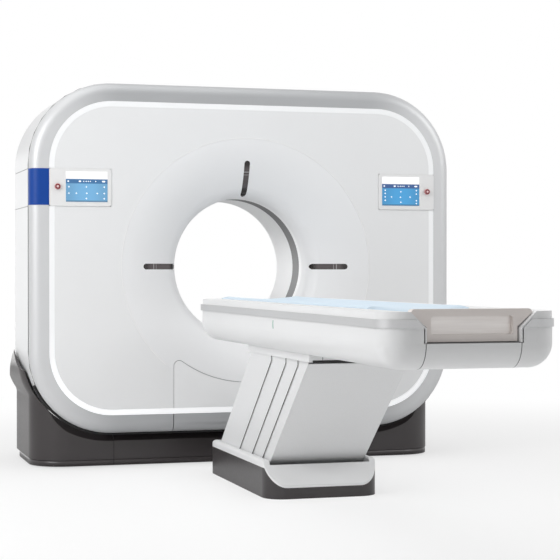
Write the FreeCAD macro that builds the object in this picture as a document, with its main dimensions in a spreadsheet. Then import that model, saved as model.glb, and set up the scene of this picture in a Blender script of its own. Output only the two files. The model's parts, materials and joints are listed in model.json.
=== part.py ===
"""Computed tomography scanner: a ring gantry in a floor plinth and a patient table on a leaning pedestal.

Millimetres. X runs across the bore, Y from the table towards the gantry, Z up from the floor.
The formulas below measure Y from the flat front face of the gantry. The finished pieces are all
moved along Y by the same amount, so that the origin lies in the middle of the whole length.
"""
import FreeCAD, Part
import math
import os
import re
import Sketcher
from FreeCAD import Placement, Rotation, Vector

doc = FreeCAD.newDocument("Scanner")

# ---------------------------------------------------------------- driving dimensions

SIZES = [
    ("gantry_depth", 860, "front face to rear face"),
    ("ring_half", 1096, "half width over the front ring"),
    ("ring_low", 176, "underside of the ring above the floor"),
    ("ring_high", 1906, "top of the ring above the floor"),
    ("ring_round", 406, "outer corner radius of the ring"),
    ("ring_width", 91, "width of the ring seen from the front"),
    ("ring_depth", 70, "depth of the ring"),
    ("ring_crown", 50, "rounding of the ring's outer front edge"),
    ("band_width", 27, "width of the light band inside the ring"),
    ("band_sink", 0.6, "light band behind the front face"),
    ("plate_wall", 7.7, "thickness of the front cover"),
    ("lip_wall", 4, "thickness of the seats behind the front cover"),
    ("lip_width", 22, "width of the seats behind the front cover"),
    ("cover_wall", 6, "thickness of the gantry covers"),
    ("cover_split", 560, "front face to the joint with the rear cover"),
    ("rear_round", 290, "rounding of the rear cover"),
    ("seam_gap", 2.5, "open seam between covers"),
    ("seat_gap", 0.3, "gap between a piece and its seat"),
    ("running_fit", 0.05, "radial clearance of a turning or sliding fit"),
    ("bore_height", 1000, "bore axis above the floor"),
    ("bore_radius", 350, "radius of the patient bore"),
    ("bore_front", 216.5, "front end of the bore liner"),
    ("bore_rear", 636, "rear end of the bore liner"),
    ("flare_radius", 647, "rim radius of the front funnel"),
    ("flare_depth", 150, "depth at which the front funnel meets the bore"),
    ("throat_round", 96.8, "radius of the funnel's curve where it meets the bore"),
    ("funnel_wall", 4, "wall of the funnels"),
    ("rear_mouth", 500, "rim radius of the rear funnel"),
    ("liner_wall", 5, "wall of the bore liner"),
    ("window_front", 260, "front edge of the scan window"),
    ("window_width", 115, "width of the scan window along the bore"),
    ("window_sink", 2.2, "depth of the groove that holds the scan window"),
    ("window_wall", 1.5, "thickness of the scan window"),
    ("slot_reach", 535, "outer end of a laser slot from the bore axis"),
    ("slot_depth", 130, "depth to which the laser slots are cut"),
    ("slot_start", 7, "bore radius to the inner end of a laser slot"),
    ("slot_width", 29, "width of a laser slot"),
    ("panel_low", 1295, "lower edge of the control panels"),
    ("panel_high", 1480, "upper edge of the control panels"),
    ("panel_length", 305, "ring's inner edge to the inner end of a control panel"),
    ("panel_proud", 4, "control panel in front of the cover"),
    ("panel_round", 10, "corner radius of a control panel"),
    ("screen_inset", 184, "ring's inner edge to the middle of a touch screen"),
    ("screen_half", 103, "half width of a touch screen"),
    ("screen_low", 1316, "lower edge of the touch screens"),
    ("screen_high", 1466, "upper edge of the touch screens"),
    ("screen_wall", 3, "thickness of a touch screen"),
    ("button_inset", 40, "ring's inner edge to the stop button"),
    ("button_height", 1390, "stop button above the floor"),
    ("button_radius", 15, "radius of a stop button's head"),
    ("button_head", 9, "height of a stop button's head"),
    ("button_stem", 6, "radius of a stop button's stem"),
    ("button_travel", 4, "how far a stop button goes in"),
    ("badge_wall", 1.5, "thickness of the coloured badge on the ring"),
    ("service_half", 384, "half width of the lower service cover"),
    ("service_arc", 583, "radius of the service cover's upper edge about the bore"),
    ("service_round", 28, "upper corner radius of the service cover"),
    ("plinth_front", 117, "front face of the gantry to the front of the plinth"),
    ("plinth_rear", 820, "front face of the gantry to the rear of the plinth"),
    ("plinth_low", 37, "open gap under the plinth"),
    ("plinth_inset", 30, "side of the ring to the side of the plinth near the floor"),
    ("plinth_round", 180, "rounding of the plinth's upright front corners"),
    ("plinth_turn", 80, "rounding of the plinth's upright rear corners"),
    ("horn_flare", 51, "how far the tips of the plinth stand out past its sides"),
    ("horn_wide", 514, "height at which the plinth's ends are widest"),
    ("horn_sweep", 270, "radius of the flared ends, seen from the front"),
    ("horn_nook", 52, "radius where the ends begin to flare"),
    ("horn_high", 575, "height of the tips of the plinth"),
    ("horn_front", 475, "height of the plinth's ends at their front edge"),
    ("horn_rear", 400, "height of the plinth's ends at their rear edge"),
    ("horn_dip", 734, "radius of the dip in the ends' upper edge"),
    ("horn_run", 395, "length over which the ends rise to their tips"),
    ("plinth_gap", 13, "open gap between the plinth and the covers"),
    ("plinth_bevel", 34, "bevel along the plinth's front inner edge"),
    ("plinth_wall", 8, "wall of the plinth"),
    ("plinth_joint", 665, "middle to the joint between plinth pieces"),
    ("beam_low", 60, "underside of the base frame's beams"),
    ("beam_high", 152, "top of the base frame's beams"),
    ("beam_width", 85, "width of the base frame's beams"),
    ("rail_mid", 600, "middle to each lengthwise beam"),
    ("foot_radius", 45, "radius of a levelling foot"),
    ("foot_wall", 14, "thickness of a levelling foot's disc"),
    ("foot_stem", 12, "radius of a levelling foot's screw"),
    ("frame_front", 500, "front face of the gantry to the stator plate"),
    ("frame_wall", 45, "thickness of the stator plate"),
    ("race_front", 476, "front end of the main bearing race"),
    ("race_rear", 540, "rear end of the main bearing race"),
    ("race_wall", 38, "radial thickness of the main bearing race"),
    ("hub_radius", 392, "outer radius of the rotor's hub"),
    ("hub_bore", 372, "inner radius of the rotor's hub"),
    ("hub_rear", 625, "rear end of the rotor's hub"),
    ("slip_lead", 20, "slip ring behind the bearing race"),
    ("slip_end", 4, "slip ring short of the hub's rear end"),
    ("track_height", 28, "slip ring tracks above the hub"),
    ("track_pitch", 12, "spacing of the slip ring tracks"),
    ("groove_depth", 4, "grooves between the slip ring tracks"),
    ("drum_radius", 740, "radius of the rotor's plate and belt rim"),
    ("drum_front", 450, "front of the rotor's plate"),
    ("drum_wall", 20, "thickness of the rotor's plate"),
    ("rim_front", 436, "front edge of the belt rim"),
    ("rim_wall", 16, "radial thickness of the belt rim"),
    ("slice_plane", 317.5, "front face of the gantry to the middle of the scan window"),
    ("tube_reach", 600, "bore axis to the middle of the x-ray tube"),
    ("tube_radius", 92, "radius of the x-ray tube's housing"),
    ("tube_front", 225, "front end of the x-ray tube's housing"),
    ("fan_half", 25, "half angle of the detector seen from the tube, degrees"),
    ("detector_reach", 1035, "x-ray tube to the face of the detector"),
    ("detector_wall", 55, "radial thickness of the detector"),
    ("detector_half", 60, "half width of the detector along the bore"),
    ("belt_wall", 5, "thickness of the drive belt"),
    ("pulley_radius", 60, "radius of the motor pulley"),
    ("pulley_side", 700, "bore axis to the motor, sideways"),
    ("pulley_drop", 670, "bore axis to the motor, downwards"),
    ("motor_radius", 85, "radius of the drive motor"),
    ("motor_front", 290, "front end of the drive motor"),
    ("shaft_radius", 18, "radius of the motor shaft"),
    ("foot_reach", 2837, "front face of the gantry to the foot end of the table"),
    ("head_reach", 258, "front face of the gantry to the head end of the housing"),
    ("table_half", 322, "half width of the table housing"),
    ("hull_low", 648, "underside of the table housing"),
    ("hull_high", 790, "upper edge of the table housing"),
    ("hull_round", 88, "rounding of the housing's lower edges"),
    ("hull_wall", 5, "wall of the table housing"),
    ("plan_round", 92, "rounding of the housing's upright corners"),
    ("rail_half", 330, "half width over the side rail"),
    ("rail_high", 819, "upper edge of the side rail"),
    ("rail_wall", 15, "thickness of the side rail"),
    ("rail_lead", 8, "side rail past the ends of the housing"),
    ("ledge_half", 321, "half width over the table's ledges"),
    ("ledge_high", 845, "top of the table's ledges"),
    ("mouth_half", 229, "half width of the channel's mouth"),
    ("channel_half", 172, "half width of the channel's floor"),
    ("channel_low", 740, "floor of the channel"),
    ("channel_wall", 5, "wall of the channel"),
    ("board_half", 212, "half width of the cradle board"),
    ("board_edge", 843, "height of the cradle board's edges"),
    ("board_dish", 17, "hollow of the cradle board"),
    ("board_flat", 176, "half width of the cradle board's underside"),
    ("board_low", 800, "underside of the cradle board"),
    ("board_head", 215, "front face of the gantry to the cradle's head end"),
    ("mat_half", 203, "half width of the mat"),
    ("mat_wall", 14, "thickness of the mat"),
    ("mat_foot", 2330, "front face of the gantry to the mat's foot end"),
    ("carriage_half", 158, "half width of the cradle's carriage"),
    ("carriage_head", 1700, "front face of the gantry to the carriage's head end"),
    ("bracket_wall", 35, "thickness of the foot bracket"),
    ("bracket_sink", 22.5, "foot end of the table to the face of the foot bracket"),
    ("floor_back", 34, "foot end of the table to the end of the channel's floor"),
    ("bracket_top", 221, "half width of the foot bracket's top"),
    ("bracket_high", 854, "top of the foot bracket"),
    ("bracket_half", 166, "half width of the foot bracket's lower part"),
    ("bracket_waist", 793, "height of the foot bracket's shoulders"),
    ("bracket_low", 743, "underside of the foot bracket"),
    ("pane_half", 150, "half width of the foot bracket's window"),
    ("pane_low", 768, "lower edge of the foot bracket's window"),
    ("pane_high", 830, "upper edge of the foot bracket's window"),
    ("pane_sink", 18, "depth of the foot bracket's window recess"),
    ("pane_wall", 4, "thickness of the foot bracket's window"),
    ("panel_half", 174.4, "half width of the foot cover"),
    ("panel_top", 738, "upper edge of the foot cover"),
    ("light_mid", 1532, "front face of the gantry to the status light"),
    ("light_height", 762, "status light above the floor"),
    ("light_radius", 40, "radius of the status light's arc"),
    ("light_half", 17, "half height of the status light"),
    ("light_width", 5, "width of the status light's line"),
    ("lean_angle", 50, "lean of the pedestal from the upright, degrees"),
    ("pivot_rise", 14.8, "underside of the table housing to the main arm's upper pivot"),
    ("arm_half", 25, "half thickness of a lift arm"),
    ("arm_side", 150, "half width of a lift arm"),
    ("arm_open", 100, "half width of the opening in a lift arm"),
    ("pin_radius", 12, "radius of a lift arm's pivot pins"),
    ("open_pin", 2, "clearance of the follower arm's upper pin"),
    ("strip_pin", 8, "radius of a strip's pivot pin"),
    ("cheek_inner", 175, "middle to the pivot cheeks"),
    ("cheek_wall", 8, "thickness of the pivot cheeks"),
    ("head_pivot", 340.4, "front face of the gantry to the main arm's lower pivot"),
    ("head_height", 110, "main arm's lower pivot above the floor"),
    ("rear_pivot", 735.9, "front face of the gantry to the rear strips' pivot"),
    ("front_pivot", 916.9, "front face of the gantry to the front strips' pivot"),
    ("strip_height", 130, "strips' pivots above the floor"),
    ("foot_pivot", 1072.5, "front face of the gantry to the follower arm's lower pivot"),
    ("foot_height", 143, "follower arm's lower pivot above the floor"),
    ("sheet_wall", 2, "sheet thickness of the pedestal covers"),
    ("layer_step", 3, "step from one pedestal cover to the next"),
    ("pedestal_half", 216, "half width of the foot-side pedestal cover"),
    ("head_face", 50, "main pivot line to the head-side face"),
    ("head_edge", 173.7, "main pivot line to the head cover's free edge"),
    ("rear_edge", 65.2, "half of the rear strip that shows"),
    ("front_edge", 51.1, "half of the front strip that shows"),
    ("foot_edge", 38.9, "follower pivot line to the foot cover's last seam"),
    ("foot_face", 30.5, "follower pivot line to the foot-side face"),
    ("strip_lap", 55, "how far a strip runs under the one before it"),
    ("strip_top", 645, "top of the pedestal covers"),
    ("strip_bend", 592, "height at which the seams turn upright"),
    ("face_top", 606, "top of the foot-side face"),
    ("collar_low", 616, "lower edge of the collar round the pedestal"),
    ("collar_wall", 4, "wall of the collar"),
    ("collar_gap", 3, "gap between collar or rim and the widest cover"),
    ("collar_head", 837, "front face of the gantry to the collar's head end"),
    ("collar_foot", 1732, "front face of the gantry to the collar's foot end"),
    ("pocket_head", 770, "head end of the pedestal's pocket in the housing"),
    ("base_half", 257, "half width of the pedestal base"),
    ("base_head", 245, "front face of the gantry to the base's head end"),
    ("base_foot", 1232, "front face of the gantry to the base's foot end"),
    ("base_round", 90, "corner radius of the base's foot end"),
    ("base_corner", 40, "corner radius of the base's head end"),
    ("base_wall", 8, "wall of the base's skirt"),
    ("skirt_high", 130, "height of the dark skirt"),
    ("rim_high", 160, "height of the base's light rim"),
    ("slope_low", 48, "height of the skirt at the foot end"),
    ("rim_round", 15, "rounding of the rim's upper edge"),
    ("slope_run", 80, "length over which the rim slopes down by 100"),
    ("slope_lap", 8.8, "rim in front of the skirt along the slope"),
    ("mouth_foot", 1166, "foot end of the opening in the rim"),
    ("floor_plate", 12, "thickness of the pedestal's floor plate"),
    ("spar_low", 690, "underside of the table frame's spars"),
    ("spar_high", 734.7, "top of the table frame"),
]

sheet = doc.addObject("Spreadsheet::Sheet", "Sizes")
for row, (alias, number, meaning) in enumerate(SIZES, start=1):
    sheet.set("A%d" % row, meaning)
    sheet.set("B%d" % row, str(number))
    sheet.setAlias("B%d" % row, alias)
doc.recompute()

NAMES = {alias for alias, _, _ in SIZES}


def formula(text):
    """Write the sheet's name before each of its aliases."""
    return re.sub(r"[a-z]+_[a-z]+", lambda m: "Sizes." + m[0] if m[0] in NAMES else m[0], str(text))


def value(text):
    """Work a formula out from the sheet."""
    return float(sheet.evalExpression(formula(text)))


# ---------------------------------------------------------------- how pieces are drawn

pieces = {}
FRAME_SHIFT = "(foot_reach-gantry_depth)/2"


def new_body(name):
    return doc.addObject("PartDesign::Body", name)


def sketch_on(body, role, offset="0"):
    """A sketch on one of the body's own origin planes, moved along the plane's normal."""
    sketch = body.newObject("Sketcher::SketchObject", body.Name + "_sketch")
    plane = next(f for f in body.Origin.OriginFeatures if f.Role == role)
    sketch.AttachmentSupport = [(plane, "")]
    sketch.MapMode = "FlatFace"
    if offset != "0":
        sketch.setExpression("AttachmentOffset.Base.z", formula(offset))
    return sketch


def fix_point(sketch, edge, end, across, up):
    """Hold one end of an edge at the place that two formulas give."""
    for kind, text, axis in (("DistanceX", across, -2), ("DistanceY", up, -1)):
        if text == "0":
            sketch.addConstraint(Sketcher.Constraint("PointOnObject", edge, end, axis))
        else:
            index = sketch.addConstraint(Sketcher.Constraint(kind, -1, 1, edge, end, value(text)))
            sketch.setExpression("Constraints[%d]" % index, formula(text))


def add_arc(sketch, start, end, radius, side):
    """An arc from start to end, its centre on the left (side 1) or the right (side -1)."""
    size = value(radius)
    chord = end.sub(start)
    rise = math.sqrt(max(size ** 2 - (chord.Length / 2) ** 2, 0))
    left = Vector(-chord.y, chord.x, 0).normalize()
    centre = start.add(end).multiply(0.5).add(left.multiply(side * rise))
    first, last = (start, end) if side > 0 else (end, start)
    low = math.atan2(first.y - centre.y, first.x - centre.x)
    high = math.atan2(last.y - centre.y, last.x - centre.x)
    if high < low:
        high += 2 * math.pi
    circle = Part.Circle(centre, Vector(0, 0, 1), size)
    edge = sketch.addGeometry(Part.ArcOfCircle(circle, low, high), False)
    index = sketch.addConstraint(Sketcher.Constraint("Radius", edge, size))
    sketch.setExpression("Constraints[%d]" % index, formula(radius))
    return (edge, 1, 2) if side > 0 else (edge, 2, 1)


def outline(sketch, points):
    """A closed outline. A point is (across, up), or (across, up, radius, side) where an arc ends."""
    places = [Vector(value(p[0]), value(p[1]), 0) for p in points]
    edges = []
    for i, start in enumerate(places):
        j = (i + 1) % len(points)
        if len(points[j]) > 2:
            edges.append(add_arc(sketch, start, places[j], points[j][2], points[j][3]))
        else:
            edges.append((sketch.addGeometry(Part.LineSegment(start, places[j]), False), 1, 2))
    for i, (edge, first, last) in enumerate(edges):
        after, begin, _ = edges[(i + 1) % len(edges)]
        sketch.addConstraint(Sketcher.Constraint("Coincident", edge, last, after, begin))
        fix_point(sketch, edge, first, points[i][0], points[i][1])
    return sketch


def circle(sketch, across, up, radius):
    place = Vector(value(across), value(up), 0)
    edge = sketch.addGeometry(Part.Circle(place, Vector(0, 0, 1), value(radius)), False)
    index = sketch.addConstraint(Sketcher.Constraint("Radius", edge, value(radius)))
    sketch.setExpression("Constraints[%d]" % index, formula(radius))
    fix_point(sketch, edge, 3, across, up)
    return sketch


def feature(body, kind, sketch, length=None, both=False, back=False):
    """A Pad or Pocket of a sketch. Without a length a Pocket goes right through both ways."""
    made = body.newObject("PartDesign::" + kind, body.Name + "_" + kind.lower())
    made.Profile = sketch
    if length is None:
        made.Type = "ThroughAll"
        made.Midplane = True
    else:
        made.setExpression("Length", formula(length))
        made.Midplane = both
        made.Reversed = back
    doc.recompute()
    return made


def turned(body, points):
    """A piece turned about the Y axis, from an outline of (along Y, radius) points."""
    sketch = outline(sketch_on(body, "YZ_Plane"), points)
    made = body.newObject("PartDesign::Revolution", body.Name + "_turn")
    made.Profile = sketch
    made.ReferenceAxis = (sketch, ["H_Axis"])
    made.Angle = 360
    doc.recompute()
    return made


def round_edges(body, radius, pick):
    """Fillet the edges of the body's tip that pick chooses."""
    tip = body.Tip
    made = body.newObject("PartDesign::Fillet", body.Name + "_round")
    made.Base = (tip, ["Edge%d" % (i + 1) for i, edge in enumerate(tip.Shape.Edges) if pick(edge)])
    made.setExpression("Radius", formula(radius))
    doc.recompute()
    return made


def flat_at(axis, place):
    """Pick edges that lie in a plane across an axis."""
    def pick(edge):
        points = [v.Point for v in edge.Vertexes] + [edge.CenterOfMass]
        return all(abs(getattr(p, axis) - place) < 0.001 for p in points)
    return pick


def along(axis):
    """Pick straight edges that run along an axis."""
    def pick(edge):
        run = edge.Vertexes[-1].Point.sub(edge.Vertexes[0].Point)
        return edge.Curve.TypeId == "Part::GeomLine" and abs(getattr(run, axis)) > run.Length - 0.001
    return pick


def rounded_box(half, low, high, corner):
    """Outline of an upright rounded rectangle, symmetric about the middle."""
    inner = "(%s)-(%s)" % (half, corner)
    bottom = "(%s)+(%s)" % (low, corner)
    top = "(%s)-(%s)" % (high, corner)
    return [("-(%s)" % inner, low, corner, 1), (inner, low), (half, bottom, corner, 1), (half, top),
            (inner, high, corner, 1), ("-(%s)" % inner, high), ("-(%s)" % half, top, corner, 1),
            ("-(%s)" % half, bottom)]


def box(name, left, right, front, rear, low, high):
    """A Part::Box between three pairs of formulas."""
    made = doc.addObject("Part::Box", name)
    made.setExpression("Length", formula("(%s)-(%s)" % (right, left)))
    made.setExpression("Width", formula("(%s)-(%s)" % (rear, front)))
    made.setExpression("Height", formula("(%s)-(%s)" % (high, low)))
    for letter, text in (("x", left), ("y", front), ("z", low)):
        made.setExpression("Placement.Base." + letter, formula(text))
    return made


def rod(name, radius, length, across, along_y, up, axis="y"):
    """A Part::Cylinder that starts at a place and runs along X, Y or Z."""
    made = doc.addObject("Part::Cylinder", name)
    turn = {"x": Rotation(Vector(0, 1, 0), 90), "y": Rotation(Vector(1, 0, 0), -90), "z": Rotation()}
    made.Placement = Placement(Vector(), turn[axis])
    made.setExpression("Radius", formula(radius))
    made.setExpression("Height", formula(length))
    for letter, text in (("x", across), ("y", along_y), ("z", up)):
        made.setExpression("Placement.Base." + letter, formula(text))
    return made


def fuse(name, *shapes):
    made = doc.addObject("Part::MultiFuse", name)
    made.Shapes = list(shapes)
    made.Refine = True
    return made


def common(name, *shapes):
    made = doc.addObject("Part::MultiCommon", name)
    made.Shapes = list(shapes)
    return made


def cut(name, base, *tools):
    made = doc.addObject("Part::Cut", name)
    made.Base = base
    made.Tool = tools[0] if len(tools) == 1 else fuse(name + "_tools", *tools)
    return made


def seat(thing, along_y="0", up="0"):
    """Place a turned or tilted piece. Its Y is measured from the gantry's front face."""
    thing.setExpression("Placement.Base.y", formula(along_y))
    thing.setExpression("Placement.Base.z", formula(up))
    return thing


def piece(name, thing, along_y="0"):
    """Name a finished piece and move it into the frame of the whole scanner."""
    thing.Label = name
    thing.setExpression("Placement.Base.y", formula("%s+(%s)" % (FRAME_SHIFT, along_y)))
    pieces[name] = thing
    return thing


# ---------------------------------------------------------------- gantry: front ring, cover and light

def gantry_outline(inset):
    return rounded_box("ring_half-(%s)" % inset, "ring_low+(%s)" % inset,
                       "ring_high-(%s)" % inset, "ring_round-(%s)" % inset)


def gantry_slab(name, inset, front, depth):
    """A slab of the gantry's outline, drawn in by an inset, from a depth behind the front face."""
    body = new_body(name)
    feature(body, "Pad", outline(sketch_on(body, "XZ_Plane", "-(%s)" % front), gantry_outline(inset)),
            depth, back=True)
    return body


def ring_solid(name, grow="0"):
    """The ring as a full slab with its crowned edge, grown outwards and forwards."""
    body = gantry_slab(name, "-(%s)" % grow, "-(%s)" % grow, "ring_depth+(%s)" % grow)
    round_edges(body, "ring_crown+(%s)" % grow, flat_at("y", value("-(%s)" % grow)))
    return body


def service_prism(name, grow="0"):
    """The upright prism that the lower service cover takes out of the gantry's front."""
    body = new_body(name)
    half = "service_half+(%s)" % grow
    arc = "service_arc-(%s)" % grow
    shoulder = "bore_height-sqrt((%s)^2-(%s)^2)" % (arc, half)
    low = "ring_low-10"
    feature(body, "Pad", outline(sketch_on(body, "XZ_Plane", "10"), [
        ("-(%s)" % half, low), (half, low), (half, shoulder), ("-(%s)" % half, shoulder, arc, -1)]),
        "ring_depth+20", back=True)
    round_edges(body, "service_round+(%s)" % grow,
                lambda edge: along("y")(edge) and edge.CenterOfMass.z > value("ring_low"))
    return body


def panel_space(name, side, front, depth, grow="0"):
    """The upright block that a control panel fills, drawn in by the seat gap unless grown."""
    body = new_body(name)
    low, high = "ring_half-ring_width-panel_length", "ring_half-ring_width-0.2"
    left, right = (low, high) if side > 0 else ("-(%s)" % high, "-(%s)" % low)
    feature(body, "Pad", outline(sketch_on(body, "XZ_Plane", "-(%s)" % front), [
        ("%s-(%s)" % (left, grow), "panel_low-(%s)" % grow),
        ("%s+(%s)" % (right, grow), "panel_low-(%s)" % grow),
        ("%s+(%s)" % (right, grow), "panel_high+(%s)" % grow),
        ("%s-(%s)" % (left, grow), "panel_high+(%s)" % grow)]),
        depth, back=True)
    return body


ring_inside = gantry_slab("ring_inside", "ring_width", "-20", "20+plate_wall+seat_gap")
ring_hollow = gantry_slab("ring_hollow", "ring_width+band_width+lip_width", "-20", "ring_depth+40")
ring_rear = gantry_slab("ring_rear", "ring_width", "plate_wall+seat_gap+lip_wall", "ring_depth")
ring_full = cut("ring_full", ring_solid("ring_block"), ring_inside, ring_hollow, ring_rear)
piece("front_ring", cut("front_ring", ring_full, service_prism("ring_service", "seam_gap/2")))

plate_outer = gantry_slab("plate_outer", "ring_width+band_width+seat_gap", "0", "plate_wall")
flare_hole = rod("flare_hole", "flare_radius+seat_gap", "60", "0", "-20", "bore_height")
service_hole = service_prism("service_hole", "seam_gap/2")
panel_holes = [panel_space("panel_hole_%s" % name, side, "-30", "60", "seat_gap")
               for name, side in (("left", -1), ("right", 1))]
piece("front_cover", cut("front_cover", plate_outer, flare_hole, service_hole, *panel_holes))

band_outer = gantry_slab("band_outer", "ring_width+seat_gap", "band_sink", "plate_wall-band_sink")
band_inner = gantry_slab("band_inner", "ring_width+band_width", "-20", "60")
piece("light_band", cut("light_band", band_outer, band_inner, *panel_holes))

# ---------------------------------------------------------------- gantry: front funnel and laser windows

DROP = "(flare_radius-bore_radius)"
SWEEP = "((flare_depth^2+%s^2-2*%s*throat_round)/(2*(flare_depth-throat_round)))" % (DROP, DROP)


def flare_joint(wall):
    """Where the funnel's two arcs meet, on the surface that lies a wall behind the visible one."""
    share = "((%s-(%s))/(%s-throat_round))" % (SWEEP, wall, SWEEP)
    return ("%s+(flare_depth-%s)*%s" % (SWEEP, SWEEP, share),
            "flare_radius+(bore_radius+throat_round-flare_radius)*%s" % share)


funnel = new_body("front_funnel_body")
shoulder = "flare_radius-12"
turned(funnel, [
    ("0", "flare_radius"),
    flare_joint("0") + (SWEEP, 1),
    ("flare_depth", "bore_radius", "throat_round", 1),
    ("bore_front", "bore_radius"),
    ("bore_front", "bore_radius+funnel_wall"),
    ("flare_depth", "bore_radius+funnel_wall"),
    flare_joint("funnel_wall") + ("throat_round-funnel_wall", -1),
    ("%s-sqrt((%s-funnel_wall)^2-(flare_radius-(%s))^2)" % (SWEEP, SWEEP, shoulder), shoulder,
     SWEEP + "-funnel_wall", -1),
    ("plate_wall+seat_gap+lip_wall", shoulder),
    ("plate_wall+seat_gap+lip_wall", "flare_radius+lip_width"),
    ("plate_wall+seat_gap", "flare_radius+lip_width"),
    ("plate_wall+seat_gap", "flare_radius")])
seat(funnel, up="bore_height")

glass = new_body("laser_glass")
turned(glass, [
    ("0.4", "flare_radius"),
    flare_joint("0.4") + (SWEEP + "-0.4", 1),
    ("flare_depth", "bore_radius+0.4", "throat_round-0.4", 1),
    ("flare_depth", "bore_radius+funnel_wall"),
    flare_joint("funnel_wall") + ("throat_round-funnel_wall", -1),
    ("funnel_wall", "flare_radius", SWEEP + "-funnel_wall", -1)])
seat(glass, up="bore_height")

slots = []
for name, turn in (("left", 90), ("top", 0), ("right", -90)):
    for use, gap in (("hole", "0"), ("pane", "seat_gap")):
        slot = new_body("slot_%s_%s" % (name, use))
        width = "slot_width/2-(%s)" % gap
        inner, outer = "bore_radius+slot_start+(%s)" % gap, "slot_reach-(%s)" % gap
        feature(slot, "Pad", outline(sketch_on(slot, "XZ_Plane", "5"), [
            ("0", inner, width, 1), (width, "%s+%s" % (inner, width), width, 1),
            (width, "%s-(%s)" % (outer, width)),
            ("0", outer, width, 1), ("-(%s)" % width, "%s-(%s)" % (outer, width), width, 1),
            ("-(%s)" % width, "%s+%s" % (inner, width))]), "slot_depth+5", back=True)
        slot.Placement = Placement(Vector(), Rotation(Vector(0, -1, 0), turn))
        seat(slot, up="bore_height")
        slots.append(slot)
    piece("laser_window_" + name, common("laser_window_" + name, glass, slot))
piece("front_funnel",
      cut("front_funnel", funnel, *slots[0::2], service_prism("funnel_service", "seam_gap/2")))

# ---------------------------------------------------------------- gantry: lower service cover

flare_air = new_body("flare_air")
turned(flare_air, [
    ("-20", "0"), ("-20", "flare_radius"), ("0", "flare_radius"),
    flare_joint("0") + (SWEEP, 1),
    ("flare_depth", "bore_radius", "throat_round", 1), ("flare_depth", "0")])
seat(flare_air, up="bore_height")
service_plate = cut("service_plate", gantry_slab("service_slab", "ring_width+band_width+seat_gap", "0",
                                                 "plate_wall+seat_gap+1"), flare_air)
service_front = fuse("service_front", service_plate, ring_full)
piece("service_cover", common("service_cover", service_front, service_prism("service_space", "-seam_gap/2")))

# ---------------------------------------------------------------- gantry: control panels and their parts

ring_edge = "ring_half-ring_width"
for name, side in (("left", -1), ("right", 1)):
    def across(low, high):
        return (low, high) if side > 0 else ("-(%s)" % high, "-(%s)" % low)

    block = panel_space("panel_block_" + name, side, "-panel_proud", "panel_proud+plate_wall", "-seat_gap")
    round_edges(block, "panel_round", along("y"))
    left, right = across("%s-screen_inset-screen_half" % ring_edge,
                         "%s-screen_inset+screen_half" % ring_edge)
    recess = box("screen_recess_" + name, left, right, "-panel_proud-5", "-panel_proud+screen_wall",
                 "screen_low", "screen_high")
    middle = "%s(%s-button_inset)" % ("" if side > 0 else "-", ring_edge)
    well = rod("button_well_" + name, "button_stem+running_fit", "60", middle, "-30", "button_height")
    piece("control_panel_" + name, cut("control_panel_" + name, block, recess, well))

    piece("touch_screen_" + name, box("touch_screen_" + name, left + "+seat_gap", right + "-seat_gap",
                                      "-panel_proud-0.8", "-panel_proud+screen_wall",
                                      "screen_low+seat_gap", "screen_high-seat_gap"), "-panel_proud-0.8")

    button = new_body("stop_button_%s_body" % name)
    head = "-panel_proud-button_travel-0.5"
    turned(button, [
        ("%s-button_head" % head, "0"), ("%s-button_head" % head, "button_radius-4"),
        ("%s-button_head+4" % head, "button_radius", "4", -1), (head, "button_radius"),
        (head, "button_stem"),
        ("plate_wall-button_travel", "button_stem"), ("plate_wall-button_travel", "0")])
    button.setExpression("Placement.Base.x", formula(middle))
    seat(button, up="button_height")
    piece("stop_button_" + name, button)

badge_skin = cut("badge_skin", ring_solid("badge_outer", "badge_wall"), ring_solid("badge_inner", "0.1"))
badge_space = box("badge_space", "-ring_half-20", "-(ring_half-ring_width)-0.5", "-20",
                  "ring_depth-seat_gap",
                  "panel_low+5", "panel_high-2")
piece("side_badge", common("side_badge", badge_skin, badge_space))

# ---------------------------------------------------------------- gantry: side, top and rear covers


def body_solid(name, inset, front, rear):
    """The gantry's body behind the ring, its rear edge rounded."""
    body = gantry_slab(name, inset, front, "(%s)-(%s)" % (rear, front))
    round_edges(body, "rear_round-(%s)" % inset, flat_at("y", value(rear)))
    return body


side_front = "ring_depth+seat_gap"
shell = cut("gantry_shell", body_solid("shell_outer", "0", side_front, "gantry_depth"),
            body_solid("shell_inner", "cover_wall", "ring_depth-10", "gantry_depth-cover_wall"),
            box("shell_floor", "-(ring_half-ring_round)", "ring_half-ring_round", "0",
                "gantry_depth-rear_round",
                "ring_low-5", "ring_low+cover_wall+5"))
corner = "(ring_half-ring_round)"
for name, side in (("left", -1), ("right", 1)):
    left, right = [("-ring_half-5", "-%s-seam_gap/2" % corner),
                   ("%s+seam_gap/2" % corner, "ring_half+5")][side > 0]
    space = box("side_space_" + name, left, right, "0", "cover_split-seam_gap/2", "0", "ring_high+5")
    grooves = [box("groove_%s_%s" % (name, edge), side_x, side_x + "+40", "0", "cover_split", edge + "-1.5",
                   edge + "+1.5")
               for edge in ("panel_low", "panel_high")
               for side_x in ["-ring_half-38" if side < 0 else "ring_half-2"]]
    piece("side_cover_" + name, cut("side_cover_" + name,
                                    common("side_shell_" + name, shell, space), *grooves))
top_space = box("top_space", "-%s+seam_gap/2" % corner, "%s-seam_gap/2" % corner, "0",
                "cover_split-seam_gap/2",
                "bore_height", "ring_high+5")
piece("top_cover", common("top_cover", shell, top_space))
rear_space = box("rear_space", "-ring_half-5", "ring_half+5", "cover_split+seam_gap/2", "gantry_depth+5",
                 "0", "ring_high+5")
piece("rear_cover", cut("rear_cover", common("rear_shell", shell, rear_space),
                        rod("rear_hole", "rear_mouth+seat_gap", "60", "0", "gantry_depth-30",
                            "bore_height")))

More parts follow.
